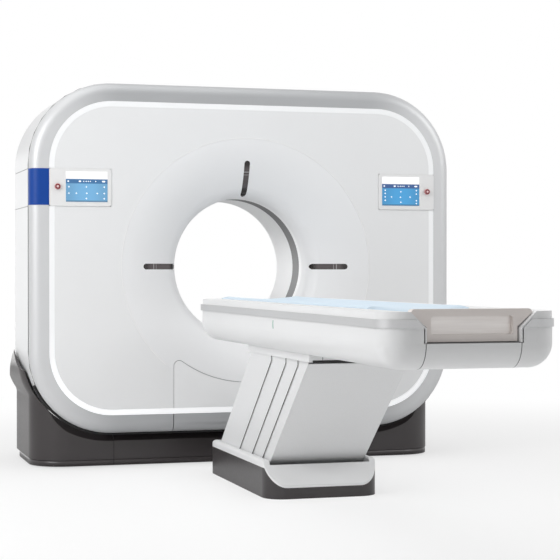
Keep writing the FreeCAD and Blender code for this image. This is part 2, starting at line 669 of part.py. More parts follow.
rear_start = "(bore_rear+seat_gap)"
REAR_SWEEP = "(((gantry_depth-%s)^2+(rear_mouth-bore_radius)^2)/(2*(rear_mouth-bore_radius)))" % rear_start
flange_rear = "gantry_depth-cover_wall-seat_gap"
flange_front = "(%s-lip_wall)" % flange_rear
rear_funnel = new_body("rear_funnel_body")
turned(rear_funnel, [
    (rear_start, "bore_radius"),
    ("gantry_depth", "rear_mouth", REAR_SWEEP, 1),
    (flange_rear, "rear_mouth"), (flange_rear, "rear_mouth+lip_width"),
    (flange_front, "rear_mouth+lip_width"),
    (flange_front, "bore_radius+%s-sqrt((%s-funnel_wall)^2-(%s-%s)^2)"
     % (REAR_SWEEP, REAR_SWEEP, flange_front, rear_start)),
    (rear_start, "bore_radius+funnel_wall", "%s-funnel_wall" % REAR_SWEEP, -1)])
seat(rear_funnel, up="bore_height")
piece("rear_funnel", rear_funnel)

window_end = "window_front+window_width"
liner = new_body("bore_liner_body")
turned(liner, [
    ("bore_front+seat_gap", "bore_radius"), ("window_front", "bore_radius"),
    ("window_front", "bore_radius+window_sink"), (window_end, "bore_radius+window_sink"),
    (window_end, "bore_radius"), ("bore_rear", "bore_radius"), ("bore_rear", "bore_radius+liner_wall"),
    ("bore_front+seat_gap", "bore_radius+liner_wall")])
seat(liner, up="bore_height")
piece("bore_liner", liner)

window = new_body("scan_window_body")
outer = "bore_radius+window_sink-seat_gap"
turned(window, [
    ("window_front+seat_gap", outer + "-window_wall"), (window_end + "-seat_gap", outer + "-window_wall"),
    (window_end + "-seat_gap", outer), ("window_front+seat_gap", outer)])
seat(window, up="bore_height")
piece("scan_window", window)

# ---------------------------------------------------------------- gantry: plinth


def plinth_solid(name, wall, low):
    """The cradle-shaped plinth, drawn in by its wall: a low block whose ends rise and flare."""
    body = new_body(name)
    half, high = "ring_half-plinth_inset-(%s)" % wall, "horn_high-(%s)" % wall
    tip = half + "+horn_flare"
    sweep, nook = "(horn_sweep-(%s))" % wall, "(horn_nook+(%s))" % wall
    turn = "(1-horn_flare/(horn_sweep+horn_nook))"
    rise = "sqrt(1-%s^2)" % turn
    start = "horn_wide-(horn_sweep+horn_nook)*%s" % rise
    joint = ("%s-%s*(1-%s)" % (tip, sweep, turn), "horn_wide-%s*%s" % (sweep, rise))
    top = "%s-%s+sqrt(%s^2-(%s-horn_wide)^2)" % (tip, sweep, sweep, high)
    feature(body, "Pad", outline(sketch_on(body, "XZ_Plane", "-plinth_front-(%s)" % wall), [
        ("-(%s)" % half, low), (half, low), (half, start), joint + (nook, -1), (top, high, sweep, 1),
        ("-(%s)" % top, high), ("-(%s)" % joint[0], joint[1], sweep, 1), ("-(%s)" % half, start, nook, -1)]),
        "plinth_rear-plinth_front-2*(%s)" % wall, back=True)
    front, rear = value("plinth_front+(%s)" % wall), value("plinth_rear-(%s)" % wall)
    for radius, face in (("plinth_round", flat_at("y", front)), ("plinth_turn", flat_at("y", rear))):
        round_edges(body, "%s-(%s)" % (radius, wall),
                    lambda edge: abs(edge.CenterOfMass.x) > 100 and face(edge))
    feature(body, "Pocket", outline(sketch_on(body, "XZ_Plane"), gantry_outline("-plinth_gap-(%s)" % wall)))
    tip_place = "plinth_front-5+horn_run"
    for end, low, side in (("plinth_front-5", "horn_front", 1), ("plinth_rear+5", "horn_rear", -1)):
        feature(body, "Pocket", outline(sketch_on(body, "YZ_Plane"), [
            (end, "%s-(%s)" % (low, wall)), (tip_place, high, "horn_dip", side),
            (tip_place, "horn_high+60"), (end, "horn_high+60")]))
    bevel = "(plinth_bevel-(2-sqrt(2))*(%s))" % wall
    tool = gantry_slab(name + "_bevel", "-plinth_gap-(%s)-%s" % (wall, bevel), "plinth_front+(%s)-5" % wall,
                       bevel + "+5")
    far = value("plinth_front+(%s)+%s" % (wall, bevel))
    base = tool.Tip
    made = tool.newObject("PartDesign::Chamfer", name + "_slant")
    made.Base = (base,
                 ["Edge%d" % (i + 1) for i, edge in enumerate(base.Shape.Edges) if flat_at("y", far)(edge)])
    made.setExpression("Size", formula(bevel))
    return cut(name + "_carved", body, tool)


plinth = cut("plinth_shell", plinth_solid("plinth_outer", "0", "plinth_low"),
             plinth_solid("plinth_inner", "plinth_wall", "plinth_low-10"),
             box("plinth_opening", "-plinth_joint", "plinth_joint", "plinth_front+80", "plinth_rear-80",
                 "plinth_low-10", "ring_low"))
beyond = "ring_half-plinth_inset+horn_flare+10"
plinth_parts = (
    ("plinth_corner_left", "-(%s)" % beyond, "-plinth_joint-0.5", "0", "plinth_rear+10"),
    ("plinth_corner_right", "plinth_joint+0.5", beyond, "0", "plinth_rear+10"),
    ("plinth_front", "-plinth_joint+0.5", "plinth_joint-0.5", "0", "(plinth_front+plinth_rear)/2"),
    ("plinth_rear", "-plinth_joint+0.5", "plinth_joint-0.5", "(plinth_front+plinth_rear)/2+1",
     "plinth_rear+10"),
)
for name, left, right, front, rear in plinth_parts:
    piece(name, common(name, plinth,
                       box(name + "_space", left, right, front, rear, "0", "horn_high+10")))

# ---------------------------------------------------------------- gantry: base frame, feet and stator

wall_in = "plinth_wall+seat_gap"
beams = []
for name, front in (("front", "plinth_front+60"), ("rear", "frame_front-20"), ("tail", "plinth_rear-150")):
    half = "ring_half-plinth_inset-(%s)" % wall_in if name == "rear" else "rail_mid+200"
    beams.append(box("beam_" + name, "-(%s)" % half, half, front, front + "+beam_width", "beam_low",
                     "beam_high"))
for name, middle in (("left", "-rail_mid"), ("right", "rail_mid")):
    beams.append(box("rail_" + name, middle + "-beam_width/2", middle + "+beam_width/2",
                     "plinth_front+plinth_bevel+10", "plinth_rear-plinth_bevel-10", "beam_low", "beam_high"))
    beams.append(box("stay_" + name, middle + "-beam_width/2", middle + "+beam_width/2",
                     "plinth_front+" + wall_in, "plinth_rear-(%s)" % wall_in, "beam_low", "beam_high-40"))
motor_low = "bore_height-pulley_drop-motor_radius"
beams.append(box("motor_stand", "-rail_mid-beam_width/2", "-rail_mid+beam_width/2", "motor_front+20",
                 "motor_front+90", "beam_low", motor_low + "-25"))
beams.append(box("motor_shelf", "-pulley_side-60", "-rail_mid+beam_width/2", "motor_front+20",
                 "motor_front+90",
                 motor_low + "-30", motor_low + "-seat_gap"))
piece("base_frame", fuse("base_frame", *beams))

feet = []
for side in ("-rail_mid", "rail_mid"):
    for place, front in enumerate(("plinth_front+60", "frame_front-20", "plinth_rear-150")):
        middle = front + "+beam_width/2"
        tag = "%d_%d" % (place, len(feet))
        feet.append(fuse("foot_" + tag,
                         rod("foot_disc_" + tag, "foot_radius", "foot_wall", side, middle, "0", "z"),
                         rod("foot_screw_" + tag, "foot_stem", "beam_low", side, middle, "0", "z")))
piece("levelling_feet", fuse("levelling_feet", *feet))

stator = new_body("stator_plate")
hole = "hub_radius+running_fit+race_wall+seat_gap"
feature(stator, "Pad", outline(sketch_on(stator, "XZ_Plane", "-frame_front"), [
    ("-plinth_joint+5", "beam_high"), ("plinth_joint-5", "beam_high"), ("plinth_joint-5", "beam_high+140"),
    ("hub_radius+208", "bore_height"), ("hub_radius+168", "bore_height+300"),
    ("330", "bore_height+hub_radius+168"), ("-330", "bore_height+hub_radius+168"),
    ("-hub_radius-168", "bore_height+300"), ("-hub_radius-208", "bore_height"),
    ("-plinth_joint+5", "beam_high+140")]), "frame_wall", back=True)
feature(stator, "Pocket", circle(sketch_on(stator, "XZ_Plane"), "0", "bore_height", hole))
for middle in ("-450", "0", "450"):
    feature(stator, "Pocket", circle(sketch_on(stator, "XZ_Plane"), middle, "beam_high+170", "90"))
arm_rear = "frame_front+frame_wall"
reach = "ring_half-cover_wall-seat_gap"
arms = [box("arm_left", "-(%s)" % reach, "-hub_radius-150", "frame_front", arm_rear, "bore_height-30",
            "bore_height+30"),
        box("arm_right", "hub_radius+150", reach, "frame_front", arm_rear, "bore_height-30",
            "bore_height+30"),
        box("arm_top", "-30", "30", "frame_front", arm_rear, "bore_height+hub_radius+140",
            "ring_high-cover_wall-seat_gap")]
piece("stator_frame", fuse("stator_frame", stator, *arms))

race = new_body("bearing_race_body")
race_bore = "hub_radius+running_fit"
turned(race, [
    ("race_front", race_bore), ("race_rear", race_bore), ("race_rear", race_bore + "+race_wall"),
    ("race_front", race_bore + "+race_wall")])
seat(race, up="bore_height")
piece("bearing_race", race)

# ---------------------------------------------------------------- gantry: rotor

drum = new_body("rotor_drum_body")
drum_rear = "drum_front+drum_wall"
turned(drum, [
    ("rim_front", "drum_radius-rim_wall"), ("drum_front", "drum_radius-rim_wall"),
    ("drum_front", "hub_bore"),
    ("hub_rear", "hub_bore"), ("hub_rear", "hub_radius"), (drum_rear, "hub_radius"),
    (drum_rear, "drum_radius"), ("rim_front", "drum_radius")])
lightening = feature(drum, "Pocket",
                     circle(sketch_on(drum, "XZ_Plane"), "0", "(hub_radius+drum_radius)/2+110", "22"))
pattern = drum.newObject("PartDesign::PolarPattern", "drum_holes")
pattern.Originals = [lightening]
pattern.Axis = (lightening.Profile[0], ["N_Axis"])
pattern.Angle = 360
pattern.Occurrences = 24
drum.Tip = pattern
seat(drum, up="bore_height")
piece("rotor_drum", drum)

tube = new_body("xray_tube_body")
tube_rear = "drum_front-seat_gap"
turned(tube, [
    ("tube_front", "0"), ("tube_front", "tube_radius-30"), ("tube_front+30", "tube_radius", "30", -1),
    ("slice_plane-45", "tube_radius"), ("slice_plane-45", "tube_radius+12"),
    ("slice_plane+45", "tube_radius+12"),
    ("slice_plane+45", "tube_radius"), (tube_rear, "tube_radius"), (tube_rear, "0")])
seat(tube, up="bore_height+tube_reach")
piece("xray_tube", tube)

collimator = new_body("collimator_body")
tube_under = "tube_reach-tube_radius-12-seat_gap"
feature(collimator, "Pad", outline(sketch_on(collimator, "XZ_Plane", "-slice_plane+detector_half"), [
    ("-120", "hub_bore+25"), ("120", "hub_bore+25"), ("70", tube_under), ("-70", tube_under)]),
    "drum_front-seat_gap-slice_plane+detector_half", back=True)
seat(collimator, up="bore_height")
piece("collimator", collimator)

generator = new_body("generator_body")
feature(generator, "Pad", outline(sketch_on(generator, "XZ_Plane", "-tube_front-20"), [
    ("-drum_radius+60", "-130"), ("-hub_radius-60", "-130"), ("-hub_radius-60", "130"),
    ("-drum_radius+60", "130")]),
    "drum_front-seat_gap-tube_front-20", back=True)
round_edges(generator, "18", along("y"))
seat(generator, up="bore_height")
piece("high_voltage_generator", generator)

detector = new_body("detector_body")
far, near = "(detector_reach+detector_wall)", "detector_reach"


def fan(radius, side):
    return ("%s%s*sin(fan_half)" % (side, radius), "tube_reach-%s*cos(fan_half)" % radius)


feature(detector, "Pad", outline(sketch_on(detector, "XZ_Plane", "-slice_plane+detector_half"), [
    fan(far, "-"), fan(far, "") + (far, 1), fan(near, ""), fan(near, "-") + (near, -1)]),
    "drum_front-seat_gap-slice_plane+detector_half", back=True)
seat(detector, up="bore_height")
piece("detector_arc", detector)

slip = new_body("slip_ring_body")
slip_front = "race_rear+slip_lead"
track_top, groove_floor = "hub_radius+track_height", "hub_radius+track_height-groove_depth"
tracks = [(slip_front, "hub_radius+seat_gap"), ("hub_rear-slip_end", "hub_radius+seat_gap"),
          ("hub_rear-slip_end", track_top)]
for track in (3, 2, 1, 0):
    groove_rear = "%s+track_pitch*(%d+2/3)" % (slip_front, track)
    groove_front = "%s+track_pitch*(%d+1/3)" % (slip_front, track)
    tracks += [(groove_rear, track_top), (groove_rear, groove_floor),
               (groove_front, groove_floor), (groove_front, track_top)]
tracks.append((slip_front, track_top))
turned(slip, tracks)
seat(slip, up="bore_height")
piece("slip_ring", slip)

# ---------------------------------------------------------------- gantry: belt drive

belt_front, belt_width = "rim_front+3", "drum_front+drum_wall-rim_front-6"
DISTANCE = "sqrt(pulley_side^2+pulley_drop^2)"


def closed_loop(name, grow):
    body = new_body(name)
    big, small = "(drum_radius+(%s))" % grow, "(pulley_radius+(%s))" % grow
    cosine = "((drum_radius-pulley_radius)/%s)" % DISTANCE
    sine = "sqrt(1-%s^2)" % cosine

    def touch(radius, middle, up):
        return ("-(%s)-%s*%s" % (middle, radius, cosine), "%s%s*%s" % (up, radius, sine))
    points = [touch(small, DISTANCE, "-") + (small, 1), touch(big, "0", "-"), (big, "0", big, 1),
              touch(big, "0", "") + (big, 1), touch(small, DISTANCE, ""),
              ("-%s-%s" % (DISTANCE, small), "0", small, 1)]
    feature(body, "Pad", outline(sketch_on(body, "XZ_Plane", "-(%s)" % belt_front), points), belt_width,
            back=True)
    body.Placement = Placement(Vector(), Rotation(Vector(0, -1, 0), -10))
    body.setExpression("Placement.Rotation.Angle", formula("atan(pulley_drop/pulley_side)"))
    seat(body, up="bore_height")
    return body


piece("drive_belt", cut("drive_belt", closed_loop("belt_outside", "seat_gap+belt_wall"),
                        closed_loop("belt_inside", "seat_gap")))

pulley = new_body("motor_pulley_body")
turned(pulley, [
    ("rim_front", "0"), (drum_rear, "0"), (drum_rear, "pulley_radius"), ("rim_front", "pulley_radius")])
feature(pulley, "Pocket", circle(sketch_on(pulley, "XZ_Plane"), "0", "0", "shaft_radius+running_fit"))
pulley.setExpression("Placement.Base.x", formula("-pulley_side"))
seat(pulley, up="bore_height-pulley_drop")
piece("motor_pulley", pulley)

motor = new_body("drive_motor_body")
turned(motor, [
    ("motor_front", "0"), ("motor_front", "motor_radius"), ("motor_front+12", "motor_radius"),
    ("motor_front+12", "motor_radius-8"), ("motor_front+100", "motor_radius-8"),
    ("motor_front+100", "motor_radius"),
    ("rim_front-12", "motor_radius"), ("rim_front-12", "shaft_radius+14"),
    ("rim_front-seat_gap", "shaft_radius+14"),
    ("rim_front-seat_gap", "shaft_radius"), (drum_rear, "shaft_radius"), (drum_rear, "0")])
motor.setExpression("Placement.Base.x", formula("-pulley_side"))
seat(motor, up="bore_height-pulley_drop")
piece("drive_motor", motor)

# ---------------------------------------------------------------- table: pedestal base


def base_block(name, inset, top, slope):
    """The base's outline drawn in by an inset, up to a height, its foot end cut to the slope."""
    body = new_body(name)
    half = "base_half-(%s)" % inset
    foot, head = "-base_foot+(%s)" % inset, "-base_head-(%s)" % inset
    near, far = "base_round-(%s)" % inset, "base_corner-(%s)" % inset
    feature(body, "Pad", outline(sketch_on(body, "XY_Plane"), [
        ("-(%s)+%s" % (half, near), foot, near, 1), ("%s-(%s)" % (half, near), foot),
        (half, "%s+%s" % (foot, near), near, 1), (half, "%s-(%s)" % (head, far)),
        ("%s-(%s)" % (half, far), head, far, 1), ("-(%s)+%s" % (half, far), head),
        ("-(%s)" % half, "%s-(%s)" % (head, far), far, 1), ("-(%s)" % half, "%s+%s" % (foot, near))]), top)
    if slope is not None:
        low = "slope_low-(%s)*100/slope_run" % slope
        feature(body, "Pocket", outline(sketch_on(body, "YZ_Plane"), [
            ("-base_foot", low), ("-base_foot+slope_run*1.6", "(%s)+160" % low),
            ("-base_foot-60", "(%s)+160" % low), ("-base_foot-60", low)]))
    return body


layers = {name: "pedestal_half+%d*layer_step" % step
          for step, name in enumerate(("foot", "front", "rear", "head"))}
opening = layers["head"] + "+collar_gap"
skirt_solid = base_block("skirt_solid", "0", "skirt_high", "0")
piece("base_skirt", cut("base_skirt", skirt_solid, base_block("skirt_hollow", "base_wall", "skirt_high+1",
                                                              "slope_lap")))
rim_seat = base_block("rim_seat", "-1", "skirt_high+seat_gap", "-seat_gap")
rim_mouth = box("rim_mouth", "-(%s)" % opening, opening, "-mouth_foot", "-base_head-base_wall", "10",
                "rim_high+20")
rim_solid = base_block("rim_solid", "0", "rim_high", "-slope_lap")
round_edges(rim_solid, "rim_round", flat_at("z", value("rim_high")))
piece("base_rim", cut("base_rim", rim_solid, rim_seat, rim_mouth))

cheeks = new_body("pivot_cheeks")
lug, toe = "28", "22"
feature(cheeks, "Pad", outline(sketch_on(cheeks, "YZ_Plane"), [
    ("-foot_pivot+60", "floor_plate-2"), ("-head_pivot+%s" % lug, "floor_plate-2"),
    ("-head_pivot+%s" % lug, "head_height"), ("-head_pivot", "head_height+%s" % lug, lug, 1),
    ("-foot_pivot", "foot_height+%s" % toe), ("-foot_pivot-%s" % toe, "foot_height", toe, 1),
    ("-foot_pivot", "foot_height-%s" % toe, toe, 1), ("-foot_pivot+60", "foot_height-%s" % toe)]),
    "2*(cheek_inner+cheek_wall)", both=True)
feature(cheeks, "Pocket", outline(sketch_on(cheeks, "YZ_Plane"), [
    ("-base_foot", "-50"), ("-base_head", "-50"), ("-base_head", "rim_high+60"),
    ("-base_foot", "rim_high+60")]),
    "2*cheek_inner", both=True)
for pivot, up, radius in (("head_pivot", "head_height", "pin_radius"),
                          ("rear_pivot", "strip_height", "strip_pin"),
                          ("front_pivot", "strip_height", "strip_pin"),
                          ("foot_pivot", "foot_height", "pin_radius")):
    feature(cheeks, "Pocket",
            circle(sketch_on(cheeks, "YZ_Plane"), "-" + pivot, up, radius + "+running_fit"))
floor = base_block("floor_block", "base_wall+seat_gap", "floor_plate", None)
piece("pedestal_base", fuse("pedestal_base", floor, cheeks))

lift_motor = fuse("lift_motor_solid",
                  box("lift_gearbox", "-120", "-20", "-head_pivot-230", "-head_pivot-110", "floor_plate",
                      "floor_plate+70"),
                  rod("lift_motor_can", "32", "150", "-25", "-head_pivot-170", "floor_plate+36", "x"))
piece("lift_motor", lift_motor)

# ---------------------------------------------------------------- table: lift arms and pedestal covers

UP, OUT = "cos(lean_angle)", "sin(lean_angle)"
ARM = "((hull_low+pivot_rise-head_height)/%s)" % UP


def level(height, pivot, offset):
    """Distance up the arm at which a line beside its pivot line reaches a height."""
    return "(%s-%s-(%s)*%s)/%s" % (height, pivot, offset, OUT, UP)


def lean(body, pivot, up):
    """Tilt a body that was drawn upright about its lower pivot, and set that pivot in place."""
    body.Placement = Placement(Vector(), Rotation(Vector(1, 0, 0), 10))
    body.setExpression("Placement.Rotation.Angle", formula("lean_angle"))
    return seat(body, "-" + pivot, up)


def lift_arm(name, pivot, up, lower_pin, upper_pin):
    """A ladder-shaped arm with a pivot pin across each end."""
    body = new_body(name + "_body")
    feature(body, "Pad", outline(sketch_on(body, "YZ_Plane"), [
        ("-arm_half", "0"), ("0", "-arm_half", "arm_half", 1), ("arm_half", "0", "arm_half", 1),
        ("arm_half", ARM), ("0", ARM + "+arm_half", "arm_half", 1),
        ("-arm_half", ARM, "arm_half", 1)]), "2*arm_side", both=True)
    feature(body, "Pocket", outline(sketch_on(body, "XZ_Plane"), [
        ("-arm_open", "3*arm_half"), ("arm_open", "3*arm_half"),
        ("arm_open", ARM + "-3*arm_half"), ("-arm_open", ARM + "-3*arm_half")]))
    for place, reach in (("0", lower_pin), (ARM, upper_pin)):
        feature(body, "Pad", circle(sketch_on(body, "YZ_Plane"), "0", place, "pin_radius"),
                "2*(%s)" % reach, both=True)
    lean(body, pivot, up)
    piece(name, body, "-" + pivot)


upper_pin = "cheek_inner+cheek_wall+2"
lift_arm("lift_arm", "head_pivot", "head_height", layers["head"] + "-sheet_wall-seat_gap", upper_pin)
lift_arm("follower_arm", "foot_pivot", "foot_height", layers["foot"] + "-sheet_wall-seat_gap", upper_pin)


def seam(edge, pivot, bend="strip_bend"):
    """The free edge of a cover: up the lean, then upright for its last stretch."""
    rise = "(strip_top-%s)" % bend
    return [(edge, level(bend, pivot, edge)),
            ("%s+%s*%s" % (edge, rise, OUT), "%s+%s*%s" % (level(bend, pivot, edge), rise, UP))]


def cover_top(offset, pivot):
    return (offset, level("strip_top", pivot, offset))


head_sheet = new_body("pedestal_cover_head_body")
feature(head_sheet, "Pad", outline(sketch_on(head_sheet, "YZ_Plane"), [
    ("head_face", "-5"), cover_top("head_face", "head_height")] + seam("-head_edge", "head_height")[::-1] + [
    ("-head_edge", "210"), ("-60", "-50"), ("0", "-30")]), "2*(%s)" % layers["head"], both=True)
feature(head_sheet, "Pocket", outline(sketch_on(head_sheet, "YZ_Plane"), [
    ("-2*head_edge", "-100"), ("head_face-sheet_wall", "-100"), ("head_face-sheet_wall", ARM + "+200"),
    ("-2*head_edge", ARM + "+200")]), "2*(%s-sheet_wall)" % layers["head"], both=True)
lean(head_sheet, "head_pivot", "head_height")
piece("pedestal_cover_head", head_sheet, "-head_pivot")

for name, pivot, edge in (("rear", "rear_pivot", "rear_edge"), ("front", "front_pivot", "front_edge")):
    strip = new_body("pedestal_strip_%s_body" % name)
    lap = "%s+strip_lap" % edge
    feature(strip, "Pad", outline(sketch_on(strip, "YZ_Plane"), [
        (lap, "-60"), cover_top(lap, "strip_height")] + seam("-" + edge, "strip_height")[::-1] + [
        ("-" + edge, "-60")]), "2*(%s)" % layers[name], both=True)
    feature(strip, "Pocket", outline(sketch_on(strip, "YZ_Plane"), [
        ("-300", "-100"), ("300", "-100"), ("300", ARM + "+200"), ("-300", ARM + "+200")]),
        "2*(%s-sheet_wall)" % layers[name], both=True)
    feature(strip, "Pad", circle(sketch_on(strip, "YZ_Plane"), "0", "0", "strip_pin"),
            "2*(%s-0.5)" % layers[name], both=True)
    lean(strip, pivot, "strip_height")
    piece("pedestal_strip_" + name, strip, "-" + pivot)

foot_sheet = new_body("pedestal_cover_foot_body")
lap = "foot_edge+strip_lap"
feature(foot_sheet, "Pad", outline(sketch_on(foot_sheet, "YZ_Plane"), [
    (lap, "-55"), cover_top(lap, "foot_height")] + seam("-foot_face", "foot_height", "face_top")[::-1] + [
    ("-foot_face", "5"), ("-20", "-55")]), "2*(%s)" % layers["foot"], both=True)
feature(foot_sheet, "Pocket", outline(sketch_on(foot_sheet, "YZ_Plane"), [
    ("-foot_face+sheet_wall", "-100"), ("300", "-100"), ("300", ARM + "+200"),
    ("-foot_face+sheet_wall", ARM + "+200")]), "2*(%s-sheet_wall)" % layers["foot"], both=True)
face_end = level("face_top", "foot_height", "-foot_face")
feature(foot_sheet, "Pocket", outline(sketch_on(foot_sheet, "YZ_Plane"), [
    ("-3*foot_face", face_end), ("300", face_end), ("300", ARM + "+200"), ("-3*foot_face", ARM + "+200")]),
    "2*(%s-sheet_wall)" % layers["foot"], both=True)
lean(foot_sheet, "foot_pivot", "foot_height")
piece("pedestal_cover_foot", foot_sheet, "-foot_pivot")

# ---------------------------------------------------------------- table: frame, housing, rail and channel

head_top = ("-head_pivot-%s*%s" % (ARM, OUT), "head_height+%s*%s" % (ARM, UP))
foot_top = ("-foot_pivot-%s*%s" % (ARM, OUT), "foot_height+%s*%s" % (ARM, UP))
spars = new_body("frame_spars")
spar_outer = "cheek_inner+cheek_wall-1"
spar_inner = "cheek_inner-3"
feature(spars, "Pad", outline(sketch_on(spars, "YZ_Plane"), [
    ("-foot_reach+180", "spar_low"), (foot_top[0] + "-40", "spar_low"),
    (foot_top[0] + "-24", foot_top[1] + "-28"),
    (foot_top[0] + "+24", foot_top[1] + "-28"), (foot_top[0] + "+40", "spar_low+10"),
    (head_top[0] + "-60", "spar_low+10"), (head_top[0] + "-24", head_top[1] + "-24"),
    (head_top[0] + "+24", head_top[1] + "-24"), (head_top[0] + "+60", "spar_low"),
    ("-head_reach-150", "spar_low"),
    ("-head_reach-150", "spar_high"), ("-foot_reach+180", "spar_high")]), "2*(%s)" % spar_outer, both=True)
feature(spars, "Pocket", outline(sketch_on(spars, "YZ_Plane"), [
    ("-foot_reach", "hull_low-50"), ("0", "hull_low-50"), ("0", "hull_high"), ("-foot_reach", "hull_high")]),
    "2*(%s)" % spar_inner, both=True)
feature(spars, "Pocket",
        circle(sketch_on(spars, "YZ_Plane"), head_top[0], head_top[1], "pin_radius+running_fit"))
feature(spars, "Pocket",
        circle(sketch_on(spars, "YZ_Plane"), foot_top[0], foot_top[1], "pin_radius+open_pin"))
bar_low = "spar_high-20"
BAR = "table_half-hull_round+sqrt((hull_round-hull_wall)^2-(hull_low+hull_round-(%s))^2)-seat_gap" % bar_low
bars = [box("frame_bar_%d" % i, "-(%s)" % BAR, BAR, "-(%s)" % place, "-(%s)+60" % place, bar_low,
            "spar_high")
        for i,
        place in enumerate(("head_reach+230", "pocket_head-40", "collar_foot+76",
                            "(collar_foot+foot_reach)/2",
                                   "foot_reach-200"))]
piece("table_frame", fuse("table_frame", spars, *bars))


def plan_slab(name, half, foot, head, corner, low, high):
    """A slab with rounded upright corners, seen from above."""
    body = new_body(name)
    feature(body, "Pad", outline(sketch_on(body, "XY_Plane", low), [
        ("-(%s)+%s" % (half, corner), foot, corner, 1), ("%s-(%s)" % (half, corner), foot),
        (half, "%s+%s" % (foot, corner), corner, 1), (half, "%s-(%s)" % (head, corner)),
        ("%s-(%s)" % (half, corner), head, corner, 1), ("-(%s)+%s" % (half, corner), head),
        ("-(%s)" % half, "%s-(%s)" % (head, corner), corner, 1),
        ("-(%s)" % half, "%s+%s" % (foot, corner))]),
        "(%s)-(%s)" % (high, low))
    return body


def hull_solid(name, inset, top):
    """The table housing as a full block, drawn in by an inset, its lower edge rounded all the way round."""
    low = "hull_low+(%s)" % inset
    body = plan_slab(name, "table_half-(%s)" % inset, "-foot_reach+rail_lead/2+(%s)" % inset,
                     "-head_reach-(%s)" % inset, "(plan_round-(%s))" % inset, low, top)
    round_edges(body, "hull_round-(%s)" % inset, flat_at("z", value(low)))
    return body


hull = cut("hull_shell", hull_solid("hull_outer", "0", "hull_high"),
           hull_solid("hull_inner", "hull_wall", "hull_high+20"))
collar = [box("collar_" + name, left, right, "-collar_foot", "-collar_head", "collar_low",
              "hull_low+hull_wall")
          for name, left, right in (("left", "-(%s)-collar_wall" % opening, "-(%s)" % opening),
                                    ("right", opening, "%s+collar_wall" % opening))]
collar.append(box("collar_end", "-(%s)" % opening, opening, "-collar_foot", "-collar_foot+collar_wall",
                  "collar_low",
                  "hull_low+hull_wall"))
pocket = box("hull_pocket", "-(%s)" % opening, opening, "-collar_foot+collar_wall", "-pocket_head",
             "hull_low-60",
             "spar_low-5")
throat = box("hull_throat", "-channel_half-2*channel_wall", "channel_half+2*channel_wall", "-foot_reach-10",
             "-foot_reach+30", "panel_top", "hull_high+20")
end_foot = "-foot_reach+rail_lead/2+hull_round"
panel_gap = box("panel_gap", "-panel_half", "panel_half", "-foot_reach-10", end_foot, "hull_low-10",
                "panel_top+5")
piece("table_housing", fuse("table_housing", cut("hull_open", hull, pocket, throat, panel_gap), *collar))
panel_box = box("panel_box", "-panel_half+0.6", "panel_half-0.6", "-foot_reach-10", end_foot + "-0.6",
                "hull_low-10", "panel_top")
piece("foot_cover", common("foot_cover", hull, panel_box))


def channel_space(name, grow, top):
    """The channel's outer shape: an upright slot under a wide V mouth."""
    body = new_body(name)
    wide = "channel_half+channel_wall+(%s)" % grow
    slope = "(mouth_half-channel_half)/(ledge_high-hull_high)"
    waist = "hull_high-3-(%s)" % grow
    mouth = "%s+(%s-(%s))*%s" % (wide, top, waist, slope)
    feature(body, "Pad", outline(sketch_on(body, "XZ_Plane", "foot_reach+20"), [
        ("-(%s)" % wide, "channel_low-channel_wall-(%s)" % grow),
        (wide, "channel_low-channel_wall-(%s)" % grow),
        (wide, waist), (mouth, top), ("-(%s)" % mouth, top), ("-(%s)" % wide, waist)]), "foot_reach+40",
            back=True)
    return body


rail_low = "hull_high+seat_gap"
rail_outer = plan_slab("rail_outer", "rail_half", "-foot_reach", "-head_reach+rail_lead",
                       "plan_round+rail_lead",
                       rail_low, "rail_high")
rail_inner = plan_slab("rail_inner", "rail_half-rail_wall", "-foot_reach+rail_wall",
                       "-head_reach+rail_lead-rail_wall",
                       "plan_round+rail_lead-rail_wall", "hull_high-10", "rail_high+10")
piece("side_rail",
      cut("side_rail", rail_outer, rail_inner, channel_space("rail_throat", "0.5", "rail_high+5")))

channel = new_body("channel_liner_body")
under = "channel_half+channel_wall"
waist_low = "hull_high-3"
slant = "%s+(rail_high+seat_gap-(%s))*(mouth_half-channel_half)/(ledge_high-hull_high)" % (under, waist_low)
half_profile = [("ledge_half", "rail_high+seat_gap"), ("ledge_half", "ledge_high"),
                ("mouth_half", "ledge_high"),
                ("channel_half", "hull_high"), ("channel_half", "channel_low")]
under_profile = [(slant, "rail_high+seat_gap"), (under, waist_low), (under, "channel_low-channel_wall")]
mirrored = [("-(%s)" % across, up) for across, up in half_profile[::-1]]
feature(channel, "Pad", outline(sketch_on(channel, "XZ_Plane", "foot_reach-rail_lead/2-0.5"),
                                half_profile + mirrored + [("-(%s)" % across, up) for across,
                                                           up in under_profile]
                                + under_profile[::-1]), "foot_reach-rail_lead/2-head_reach-hull_wall-1.5",
        back=True)
ledge_plan = plan_slab("ledge_plan", "ledge_half", "-foot_reach+rail_lead/2+0.5",
                       "-head_reach-hull_wall-1.5",
                       "plan_round", "hull_low", "ledge_high+10")
floor_end = box("floor_end", "-(%s)-1" % under, under + "+1", "-foot_reach-10", "-foot_reach+floor_back",
                "channel_low-channel_wall-5", "channel_low+0.2")
piece("channel_liner", cut("channel_liner", common("channel_trimmed", channel, ledge_plan), floor_end))

light = new_body("status_light_body")
light_foot = "-light_mid-sqrt(light_radius^2-light_half^2)+light_radius"
narrow = "(light_radius-light_width)"
feature(light, "Pad", outline(sketch_on(light, "YZ_Plane", "-table_half-1"), [
    ("-light_mid", "light_height-light_half"), ("-light_mid", "light_height+light_half", "light_radius", 1),
    ("-light_mid-light_width", "light_height+light_half"),
    ("-light_mid-light_width", "light_height-light_half", "light_radius", -1)]), "1")
piece("status_light", light)

# ---------------------------------------------------------------- table: sliding cradle


def dish(half, rise):
    """Radius of an arc across the cradle from its half width and its hollow."""
    return "(((%s)^2+(%s)^2)/(2*(%s)))" % (half, rise, rise)


